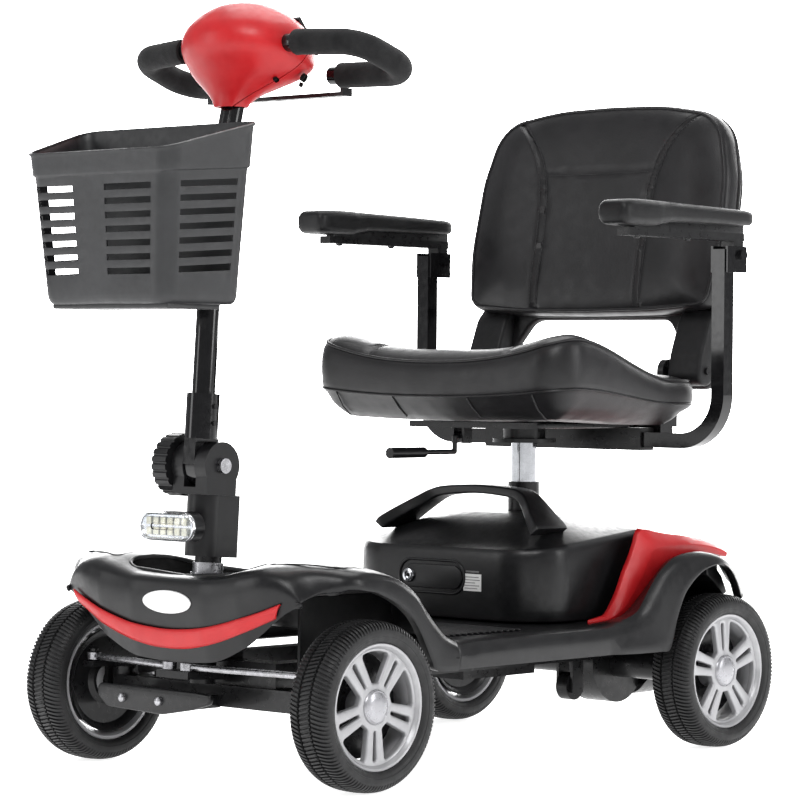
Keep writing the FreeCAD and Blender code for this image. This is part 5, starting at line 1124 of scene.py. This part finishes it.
def seat_cushion():
    rings = []
    for pull, z in ((60, 423.2), (44, 423.4), (36, 425), (26, 431), (15, 440)):
        plan = inset(PLAN, pull)
        rings.append([(x, y, z + 0.5 * (middle_seam(x, y) - 455)) for x, y in plan])
    for pull, share, shift in ((6, 0, -6), (1.2, 0, -1.6), (2.4, 0, 0), (0.6, 0, 1.8), (-0.6, 0.14, 0),
                               (-1.6, 0.4, 0), (-1.2, 0.65, 0), (1.2, 0.85, 0), (4.0, 0.955, 0), (6.2,
                                                                                                  0.99, 0)):
        plan = inset(PLAN, pull)
        rings.append([(x, y, middle_seam(x, y) + share * (edge_height(x, y) - middle_seam(x, y)) + shift)
                      for x, y in plan])
    border = inset(PLAN, 7.5)
    for scale in (1.0, 0.985, 0.965, 0.94, 0.91, 0.875, 0.835, 0.79, 0.74, 0.69, 0.64, 0.59, 0.53, 0.46,
                  0.38,
                  0.29, 0.19, 0.09, 0.02):
        ring = []
        for x0, y0 in border:
            x, y = HEART + (np.array([x0, y0]) - HEART) * scale
            z = seat_surface(x, y, x0, y0, scale)
            ring.append((x, y, z))
        rings.append(ring)
    return loft("seat_pad", rings, M["leather"], "seat", angle=60, replaces=("seat_cushion",))


pad = seat_cushion()
tube("seat_piping", [(x, y, edge_height(x, y) + 0.6) for x, y in inset(PLAN, 6.2)], 2.1, M["leather"],
     "seat", 10,
     closed=True)
tube("seat_middle_piping", [(x, y, middle_seam(x, y)) for x, y in inset(PLAN, 0.6)], 1.5, M["leather"],
     "seat", 8,
     closed=True)


def stitches(name, path, body, material, step=4.6, length=3.2, radius=0.42):
    """Short stitches along a path of points on a surface."""
    path = np.asarray(path, float)
    along = np.r_[0, np.cumsum(np.linalg.norm(np.diff(path, axis=0), axis=1))]
    pieces, faces = [], []
    for start in np.arange(1, along[-1] - length, step):
        ends = [np.array([np.interp(t, along, path[:, k]) for k in range(3)]) for t in (start,
                                                                                        start + length)]
        direction = ends[1] - ends[0]
        direction /= np.linalg.norm(direction)
        side = np.cross(direction, (0.31, -0.55, 0.77))
        side /= np.linalg.norm(side)
        other = np.cross(direction, side)
        base = len(pieces)
        for point, grow in ((ends[0], 0.5), (ends[0] + direction * 0.5, 1), (ends[1] - direction * 0.5, 1),
                            (ends[1], 0.5)):
            for k in range(6):
                a = math.pi * k / 3
                pieces.append(point + radius * grow * (side * math.cos(a) + other * math.sin(a)))
        faces += grid_faces(4, 6, wrap_columns=True, start=base)
        faces += [tuple(base + k for k in range(5, -1, -1)), tuple(base + 18 + k for k in range(6))]
    return build(name, pieces, faces, material, body, 60)


for sign in (1, -1):
    for shift, tag in ((-5.5, "inner"), (5.5, "outer")):
        line = [(sign * (seam_line(y) + shift), y, 0) for y in np.arange(58, 300, 3.0)]
        stitches("seat_stitch_%s_%s" % (tag, side_name(sign)),
                 [(x, y, seat_height(x, y) + 0.2) for x, y, z in line], "seat", M["thread"])
for k, x in enumerate((-168, -64, 64, 168)):
    plan = PLAN[np.argmin(np.abs(PLAN[:, 0] - x) + (PLAN[:, 1] > 100) * 999)]
    tube("skirt_seam_%d" % k,
         [(plan[0], plan[1] + 1.2, middle_seam(*plan) - 2), (plan[0], plan[1] + 14, 440),
                               (plan[0], plan[1] + 30, 428)], 0.9, M["leather"], "seat", 8)


# ------------------------------------------------------------------ backrest
LEAN = math.radians(11)
HINGE_Y, HINGE_Z = 345, 490


def leaned(points):
    """(x, depth, height) about the backrest hinge to millimetres."""
    points = np.asarray(points, float).reshape(-1, 3)
    y = HINGE_Y + points[:, 1] * math.cos(LEAN) + points[:, 2] * math.sin(LEAN)
    z = HINGE_Z - points[:, 1] * math.sin(LEAN) + points[:, 2] * math.cos(LEAN)
    return np.c_[points[:, 0], y, z]


REST = even(rounded_polygon([(-206, 84, 22), (-110, 77, 300), (0, 75.5, 900), (110, 77, 300), (206, 84, 22),
                             (217, 160, 240), (212, 262, 120), (190, 345, 62), (90, 361, 400), (0, 363,
                                                                                                900),
                             (-90, 361, 400), (-190, 345, 62), (-212, 262, 120), (-217, 160,
                                                                                  240)], 14), 300)


REST_BORDER = inset(REST, 5.4)
REST_HEART = np.array([0, 215.0])


def rest_seam(h):
    """Half distance between the upright seams of the backrest."""
    return 90 + 6 * ease((h - 190) / 90) + 76 * max(0.0, (h - 240) / 120) ** 2.2


def rest_front(x, h, scale):
    """Depth of the padded front; more negative is nearer the sitter."""
    crown = 8 * (1 - scale ** 9)
    hollow = -5.0 * math.exp(-(x / 95) ** 2) * (1 - ease(abs(h - 180) / 190))
    side = 4.5 * math.exp(-((abs(x) - 160) / 42) ** 2) * (1 - scale ** 10)
    groove = 4.6 * math.exp(-((abs(x) - rest_seam(h)) / 3.4) ** 2)
    if abs(x) < rest_seam(h):
        groove = max(groove, 2.2 * math.exp(-((h - 272) / 2.4) ** 2))
    return -21 - crown - side - hollow + groove


def backrest_pad():
    rings = []
    for pull, depth in ((30, 14), (12, 14), (4, 13.4), (1.4, 11.6), (2.2, 10.4), (0.6, 9), (-0.8, 2),
                        (-1.2, -8),
                        (-0.2, -16.6), (2.2, -20.2), (4.2, -20.8)):
        rings.append(leaned([(x, depth, h) for x, h in inset(REST, pull)]))
    for scale in (1.0, 0.99, 0.977, 0.96, 0.94, 0.915, 0.888, 0.86, 0.83, 0.8, 0.77, 0.74, 0.71, 0.68,
                  0.65, 0.62,
                  0.59, 0.56, 0.53, 0.5, 0.47, 0.44, 0.4, 0.36, 0.31, 0.25, 0.18, 0.1, 0.02):
        ring = []
        for x0, h0 in REST_BORDER:
            x, h = REST_HEART + (np.array([x0, h0]) - REST_HEART) * scale
            ring.append((x, rest_front(x, h, scale), h))
        rings.append(leaned(ring))
    return loft("backrest_pad", rings, M["leather"], "backrest", angle=60, replaces=("backrest_cushion",))


rest = backrest_pad()
tube("backrest_front_piping", leaned([(x, -20.4, h) for x, h in inset(REST, 3.4)]), 2.0, M["leather"],
     "backrest", 10,
     closed=True)
tube("backrest_rear_piping", leaned([(x, 11, h) for x, h in inset(REST, 1.0)]), 2.0, M["leather"],
     "backrest", 10,
     closed=True)


def share_of(x, h):
    """How far out a point of the backrest lies, 1 at the border."""
    border = REST_BORDER - REST_HEART
    rise = h - REST_HEART[1]
    angle = math.atan2(rise, x)
    angles = np.arctan2(border[:, 1], border[:, 0])
    k = int(np.argmin(np.abs(np.angle(np.exp(1j * (angles - angle))))))
    return math.hypot(x, rise) / np.linalg.norm(border[k])


for sign in (1, -1):
    for shift, tag in ((-6, "inner"), (6, "outer")):
        line = []
        for h in np.arange(84, 352, 3.0):
            x = sign * (rest_seam(h) + shift)
            s = share_of(x, h)
            if s < 0.985:
                line.append((x, rest_front(x, h, s) - 0.3, h))
        stitches("backrest_stitch_%s_%s" % (tag, side_name(sign)), leaned(line), "backrest",
                 M["thread"])
line = [(x, rest_front(x, 268, share_of(x, 268)) - 0.2, 267) for x in np.arange(-88, 89, 4.0)]
stitches("backrest_stitch_across", leaned(line), "backrest", M["thread"])


def rest_shell():
    outer = mirrored([(-203, -20, 16), (-205, 60, 60), (-209, 150, 60), (-206, 262, 120), (-182, 340, 58),
                      (0, 356, 900)])
    cut_out = [(150, -20, 14), (142, 40, 30), (118, 74, 26), (-118, 74, 26), (-142, 40, 30),
               (-150, -20, 14)]
    outline = rounded_polygon(outer + cut_out, 8)

    def flat(p):
        return leaned(np.c_[p[:, 0], 22 - p[:, 2], p[:, 1]])
    plate("rest_shell_plate", outline, [], flat, 15, 5, M["abs_rough"], "backrest", 40, ("backrest_shell",))
    outline = rounded_polygon([(-15, -19, 14), (14, -19, 14), (29, 30, 24), (29, 96, 6), (12, 96, 6),
                               (-6, 70, 40),
                               (-15, 20, 30)], 8)
    for sign in (1, -1):
        def flank(p, sign=sign):
            return leaned(np.c_[sign * (177 + p[:, 2]), p[:, 0], p[:, 1]])
        plate("rest_leg_" + side_name(sign), outline, [], flank, 54, 5, M["abs_rough"],
              "backrest", 40)


rest_shell()


seat_plate = rounded_polygon([(-105, 118, 22), (105, 118, 22), (120, 300, 14), (-120, 300, 14)], 8)
plate("seat_plate", seat_plate, [], lambda p: np.c_[p[:, 0], p[:, 1], 418 + p[:, 2]], 7, 2.0, M["steel"],
      "seat", 35,
      ("seat_pan",))


# ------------------------------------------------------------------ steering head
# height, centre along Y, half width, half depth
HEAD = [(802, -333, 20, 20), (808, -331, 24, 22), (816, -326, 33, 28), (826, -316, 49, 41),
        (838, -305, 68, 57),
        (850, -300, 80, 67), (863, -303, 84, 71), (875, -306, 84, 72), (888, -308, 80, 70), (900, -309,
                                                                                             72, 64),
        (910, -310, 61, 54), (918, -311, 48, 43), (924.5, -312, 33, 30), (928, -312, 19, 17), (929.4,
                                                                                               -312, 3, 3)]


def head_rings():
    rows = smooth_path(HEAD, 70)
    rings = []
    for z, y, a, b in rows:
        ring = []
        for t in np.linspace(0, 2 * math.pi, 120, endpoint=False):
            c, s = math.cos(t), math.sin(t)
            ring.append((a * math.copysign(abs(c) ** 0.94, c), y + b * math.copysign(abs(s) ** 0.94, s), z))
        rings.append(ring)
    return rings


def half_space(thing, point, normal):
    """Keeps the part of a mesh on the far side of a plane."""
    work = bmesh.new()
    work.from_mesh(thing.data)
    place = to_row([point])[0]
    geometry = list(work.verts) + list(work.edges) + list(work.faces)
    bmesh.ops.bisect_plane(work, geom=geometry, plane_co=tuple(place), plane_no=normal, clear_inner=True)
    work.to_mesh(thing.data)
    work.free()


split = math.radians(47)
for name, sign, node in (("head_dome", 1, "head_top_cover"), ("head_belly", -1, "head_bottom_cover")):
    shell = loft(name, head_rings(), M["red"], "tiller", cap=False, angle=50, replaces=(node,))
    half_space(shell, (0, -336, 812 + 0.9 * sign), (0, -sign * math.sin(split), sign * math.cos(split)))
    modify(shell, "SOLIDIFY", thickness=3 * MM, offset=-1.0)
    sharpen(shell.data, 50, flip=False)
# painted shade: a near-black sheet just inside the red head shows through the seam as the shade in the gap
loft("head_seam_liner", [[(x * 0.98, (y + 308) * 0.98 - 308, z) for x, y, z in ring]
                                for ring in head_rings()[4:-3]], M["dark"], "tiller", cap=False, angle=60)
# painted shade: each screw recess is a near-black cup that stands for the shade inside it
for k, (x, y, z, wide) in enumerate(((78, -286, 836, 8.5), (66, -322, 832, 5), (50, -262, 831, 5))):
    for side in (1, -1):
        out = np.array([side * 0.8, (y + 306) / 90, -0.45])
        out /= np.linalg.norm(out)
        turned("head_screw_%d_%s" % (k, side_name(side)),
               [(0.01, -2.0), (3.0, -2.0), (3.2, -0.2), (wide * 0.62, 0.4), (wide * 0.62, -4)],
               (side * x, y, z), out, M["dark"], "tiller", 24)


# ------------------------------------------------------------------ basket
LOW_CORNERS = [(-103, -539, 22), (103, -539, 22), (128, -434, 16), (-128, -434, 16)]
TOP_CORNERS = [(-120, -553, 24), (120, -553, 24), (148, -431, 18), (-148, -431, 18)]
BASKET_LOW, BASKET_TOP = 568.0, 755.0
SLOT_ROWS, SLOT_LOW, SLOT_STEP, SLOT_HALF = 7, 599, 16.2, 3.7


def basket_outline(corners):
    """Matching points round the basket, with a flag for columns that start a slot."""
    corners = np.array(corners, float)
    result, flags = [], []
    for i in range(4):
        a, b = corners[i], corners[(i + 1) % 4]
        direction = (b[:2] - a[:2]) / np.linalg.norm(b[:2] - a[:2])
        before = corners[i - 1]
        back = (a[:2] - before[:2]) / np.linalg.norm(a[:2] - before[:2])
        half = math.acos(float(-back @ direction)) / 2
        reach = a[2] / math.tan(half)
        start, end = a[:2] - back * reach, a[:2] + direction * reach
        middle = a[:2] + (direction - back) / np.linalg.norm(direction - back) * a[2] / math.sin(half)
        total = math.pi - 2 * half
        for k in range(7):
            t = k / 6
            result.append(middle + (math.sin((1 - t) * total) * (start - middle)
                                    + math.sin(t * total) * (end - middle)) / math.sin(total))
            flags.append(i == 0 and 3 <= k <= 6)
        after = corners[(i + 2) % 4]
        onward = (after[:2] - b[:2]) / np.linalg.norm(after[:2] - b[:2])
        half_next = math.acos(float(-direction @ onward)) / 2
        finish = b[:2] - direction * (b[2] / math.tan(half_next))
        stops = {0: [0.02, 0.1, 0.2, 0.28, 0.4, 0.5, 0.56, 0.66, 0.78, 0.9, 0.97],
                 1: [0.02, 0.14, 0.3, 0.5, 0.7, 0.86, 0.97], 2: [0.25, 0.5, 0.75],
                 3: [0.03, 0.14, 0.3, 0.5, 0.7, 0.86, 0.98]}[i]
        cut = {0: {0.02, 0.1, 0.2, 0.56, 0.66, 0.78, 0.9}, 1: {0.02, 0.14, 0.3, 0.5, 0.7, 0.86}, 2: set(),
               3: {0.03, 0.14, 0.3, 0.5, 0.7}}[i]
        for stop in stops:
            result.append(end + (finish - end) * stop)
            flags.append(stop in cut)
    return np.array(result), flags


def basket():
    low, flags = basket_outline(LOW_CORNERS)
    high, _ = basket_outline(TOP_CORNERS)
    rows = [(562.2, -8), (563, -5), (565.4, -2.2), (569, -0.6), (574, 0)]
    slots = []
    for k in range(SLOT_ROWS):
        centre = SLOT_LOW + SLOT_STEP * k
        slots.append(len(rows))
        rows += [(centre - SLOT_HALF, 0), (centre + SLOT_HALF, 0)]
    rows += [(708, 0), (711, 0.3), (712.4, 2.6), (714, 3.1)]
    points = []
    middle = np.array([0, -492.0])

    def at(z, extra, i):
        share = (z - BASKET_LOW) / (BASKET_TOP - BASKET_LOW)
        here = low[i] * (1 - share) + high[i] * share
        direction = (here - middle) / np.linalg.norm(here - middle)
        y_share = min(1.0, max(0.0, (here[1] + 550) / 112))
        lift = 8 * y_share * min(1.0, max(0.0, (z - BASKET_LOW) / 30))
        return (*(here + direction * extra), z + lift)

    for z, extra in rows:
        points += [at(z, extra, i) for i in range(len(low))]
    for share, extra, shift in ((0.35, 3.1, 0), (0.8, 3.1, 0), (0.97, 3.4, 0), (1.0, 5.0, -1.6),
                                (1.0, 5.4, 0.6),
                                (1.0, 3.6, 1.6), (1.0, 1.0, 1.8)):
        for i in range(len(low)):
            y = high[i][1]
            top = 737 + 35 * min(1.0, max(0.0, (y + 553) / 122))
            base = at(714, 3.1, i)
            tip = at(top - 8 * min(1.0, max(0.0, (y + 550) / 112)), extra, i)
            z = base[2] + (tip[2] - base[2]) * share + shift
            points.append((base[0] + (tip[0] - base[0]) * share, base[1] + (tip[1] - base[1]) * share, z))
    count = len(low)
    total = len(points) // count
    faces = []
    for r in range(total - 1):
        for i in range(count):
            if r in slots and flags[i]:
                continue
            j = (i + 1) % count
            faces.append((r * count + i, r * count + j, (r + 1) * count + j, (r + 1) * count + i))
    faces.append(tuple(range(count - 1, -1, -1)))
    thing = build("basket_wall", points, faces, M["basket"], "basket", 34, ("front_basket",))
    modify(thing, "SOLIDIFY", thickness=3 * MM, offset=-1.0)
    modify(thing, "BEVEL", width=0.8 * MM, segments=2, limit_method="ANGLE", angle_limit=math.radians(48))
    sharpen(thing.data, 40)
    solid_box("basket_tray", (-98, -529, 557), (98, -445, 564), M["basket"], "basket", 2)


basket()


# ------------------------------------------------------------------ arm pads
# distance along Y, half width, underside, top, edge radius
PAD = [(70.6, 12, 682, 692, 4), (71.6, 18, 677.5, 697, 8), (75, 22.3, 673.5, 700.6, 10),
       (84, 24.6, 671.6, 702.6, 10), (110, 25, 671, 703.4, 10), (138, 24.6, 671.4, 703.2, 10),
       (150, 24, 673.6, 702.9, 10), (163, 23.4, 675.4, 702.4, 9), (176, 23, 677.4, 702, 8),
       (250, 21.6, 678, 700.4, 7.5), (318, 20.6, 678.4, 698.4, 6.6), (335, 19.8, 679, 697.6, 6),
       (343, 17.5, 680.4, 696, 5), (346.6, 12, 684, 692, 3.6)]
for side, tag in ((1, "left"), (-1, "right")):
    loops = []
    for y, half, low, high, radius in smooth_path(PAD, 70):
        section = round_rect(half, (high - low) / 2, min(radius, (high - low) / 2 - 0.1), 6)
        loops.append([(side * (261 + u), y, (low + high) / 2 + v + 0.6 * (1 - (u / half) ** 2) * (v > 0))
                      for u, v in section])
    soft = loft("arm_rest_" + tag, loops, M["pad"], "pad_" + tag, angle=60, replaces=("arm_pad_" + tag,))
    solid_box("arm_rail_" + tag, (side * 257 - 9.4, 112, 661), (side * 257 + 9.4, 340, 680), M["steel"],
              "pad_" + tag, 1.2)
    for k, y in enumerate((128, 232)):
        turned("arm_rail_bolt_%s_%d" % (tag, k), [(0.01, 4), (3.6, 3.6), (4.6, 2), (4.8, 0)],
               (side * 257, y, 660),
               (0, 0, -1), M["steel"], "pad_" + tag, 20)


# ------------------------------------------------------------------ headlight
def lamp_loop(half_long, half_tall, y):
    return [(u, y, v) for u, v in stadium(half_long, half_tall, (0, 302), 12)]


loft("lamp_reflector", [lamp_loop(44, 16, -429), lamp_loop(45, 17, -429.4), lamp_loop(45.2, 17.2, -434),
                        lamp_loop(44.2, 16.4, -435.5), lamp_loop(41, 13.4, -431.5), lamp_loop(30, 8,
                                                                                              -430.6),
                        lamp_loop(10, 2, -430.4)], M["reflector"], "steering", angle=40)
loft("lamp_glass", [lamp_loop(44.6, 16.6, -433), lamp_loop(44.9, 16.9, -436), lamp_loop(43.4, 15.6, -439.4),
                    lamp_loop(38, 11.4, -440.9), lamp_loop(20, 4, -441.3), lamp_loop(19, 3.4, -439.8),
                    lamp_loop(37, 10.6, -439.4), lamp_loop(42, 14.4, -438), lamp_loop(43.2, 15.4, -434)],
     M["lens"], "steering", angle=40, replaces=("headlight_lens",))
for row_z in (296, 308):
    for column_x in np.arange(-30, 31, 12):
        solid_box("led_%d_%d" % (row_z, column_x + 30), (column_x - 4.6, -434.4, row_z - 4.6),
                  (column_x + 4.6, -431.2, row_z + 4.6), M["led"], "steering", 1.2)


# ------------------------------------------------------------------ pieces shown straight from CAD
SLOT_FINISH = {
    "black_steel": "steel", "gloss_black_tube": "gloss", "black_abs": "abs", "red_abs": "red",
    "grey_black_plastic": "basket", "tyre_rubber": "tyre", "silver_rim": "rim", "bright_steel": "zinc",
    "chrome_post": "chrome", "foam": "foam", "seat_leather": "leather", "clear_lens": "lens",
    "soft_pad": "pad",
}
for part in frame["record"]["subparts"]:
    thing = NODE[part["node"]]
    thing.data.materials.clear()
    thing.data.materials.append(M[SLOT_FINISH[part["material_slot"]]])


# ------------------------------------------------------------------ studio
def studio_world():
    world = bpy.data.worlds.new("studio")
    world.use_nodes = True
    tree = world.node_tree
    tree.nodes.clear()
    out = tree.nodes.new("ShaderNodeOutputWorld")
    back = tree.nodes.new("ShaderNodeBackground")
    back.inputs["Strength"].default_value = 1.0
    ramp = tree.nodes.new("ShaderNodeValToRGB")
    ramp.color_ramp.elements[0].color = (0.3, 0.3, 0.31, 1)
    ramp.color_ramp.elements[1].color = (0.55, 0.55, 0.56, 1)
    split = tree.nodes.new("ShaderNodeSeparateXYZ")
    coord = tree.nodes.new("ShaderNodeTexCoord")
    tree.links.new(coord.outputs["Generated"], split.inputs["Vector"])
    tree.links.new(split.outputs["Z"], ramp.inputs["Fac"])
    tree.links.new(ramp.outputs["Color"], back.inputs["Color"])
    tree.links.new(back.outputs["Background"], out.inputs["Surface"])
    bpy.context.scene.world = world


def soft_box(name, place, aim, size, power):
    light = bpy.data.lights.new(name, "AREA")
    light.shape = "RECTANGLE"
    light.size, light.size_y = size
    light.energy = power
    thing = bpy.data.objects.new(name, light)
    thing.location = place
    thing.rotation_euler = (Vector(aim) - Vector(place)).to_track_quat("-Z", "Y").to_euler()
    bpy.context.scene.collection.objects.link(thing)
    return thing


def floor_finish():
    n = Nodes("pale_floor")
    drift = n.noise(2.0, 2.0)
    colour = n.ramp(drift, "Fac", (0.9, 0.9, 0.9, 1), (0.94, 0.94, 0.94, 1))
    n.link(colour, "Color", n.shader, "Base Color")
    n.link(colour, "Color", n.shader, "Emission Color")
    n.shader.inputs["Emission Strength"].default_value = 0.9
    n.shader.inputs["Roughness"].default_value = 0.7
    n.shader.inputs["Specular IOR Level"].default_value = 0.1
    return n.mat


def backdrop_finish():
    n = Nodes("white_backdrop")
    drift = n.noise(0.5, 1.0)
    glow = n.add("ShaderNodeEmission", Strength=7.0)
    colour = n.ramp(drift, "Fac", (0.97, 0.97, 0.97, 1), (1, 1, 1, 1))
    n.link(colour, "Color", glow, "Color")
    n.link(glow, "Emission", n.out, "Surface")
    return n.mat


studio_world()
bpy.context.scene.view_settings.view_transform = "Standard"
soft_box("key_light", (1.6, -2.6, 3.2), (0, 0, 0.4), (1.6, 1.6), 70)
soft_box("side_light", (3.4, 1.2, 1.6), (0, 0, 0.5), (0.9, 2.2), 40)
soft_box("top_light", (-0.6, 0.8, 3.2), (0, 0, 0.4), (2.2, 2.2), 55)
soft_box("front_light", (-2.2, -3.2, 1.4), (0, 0, 0.4), (1.0, 2.0), 22)
floor_mesh = bpy.data.meshes.new("floor")
floor_mesh.from_pydata([(-30, -30, 0), (30, -30, 0), (30, 30, 0), (-30, 30, 0)], [], [(0, 1, 2, 3)])
floor = new_object("floor", floor_mesh, floor_finish())
drop_mesh = bpy.data.meshes.new("backdrop")
drop_mesh.from_pydata([(-16, 8, -0.5), (2, 16, -0.5), (2, 16, 9), (-16, 8, 9)], [], [(0, 1, 2, 3)])
backdrop = new_object("backdrop", drop_mesh, backdrop_finish())

turn, tip, lean = math.radians(42.44), math.radians(0.55), math.radians(0.47)
forward = Vector((-math.sin(turn) * math.cos(tip), math.cos(turn) * math.cos(tip), -math.sin(tip)))
right = Vector((math.cos(turn), math.sin(turn), 0))
upward = right.cross(forward)
across = right * math.cos(lean) + upward * math.sin(lean)
upright = upward * math.cos(lean) - right * math.sin(lean)
lens = bpy.data.cameras.new("camera")
lens.lens = 146.3
lens.sensor_width = 36
lens.clip_end = 100
camera = bpy.data.objects.new("camera", lens)
camera.matrix_world = Matrix.Translation((2.789, -3.078 + SHIFT * MM, 0.490)) @ Matrix(
    (across, upright, -forward)).transposed().to_4x4()
bpy.context.scene.collection.objects.link(camera)
bpy.context.scene.camera = camera
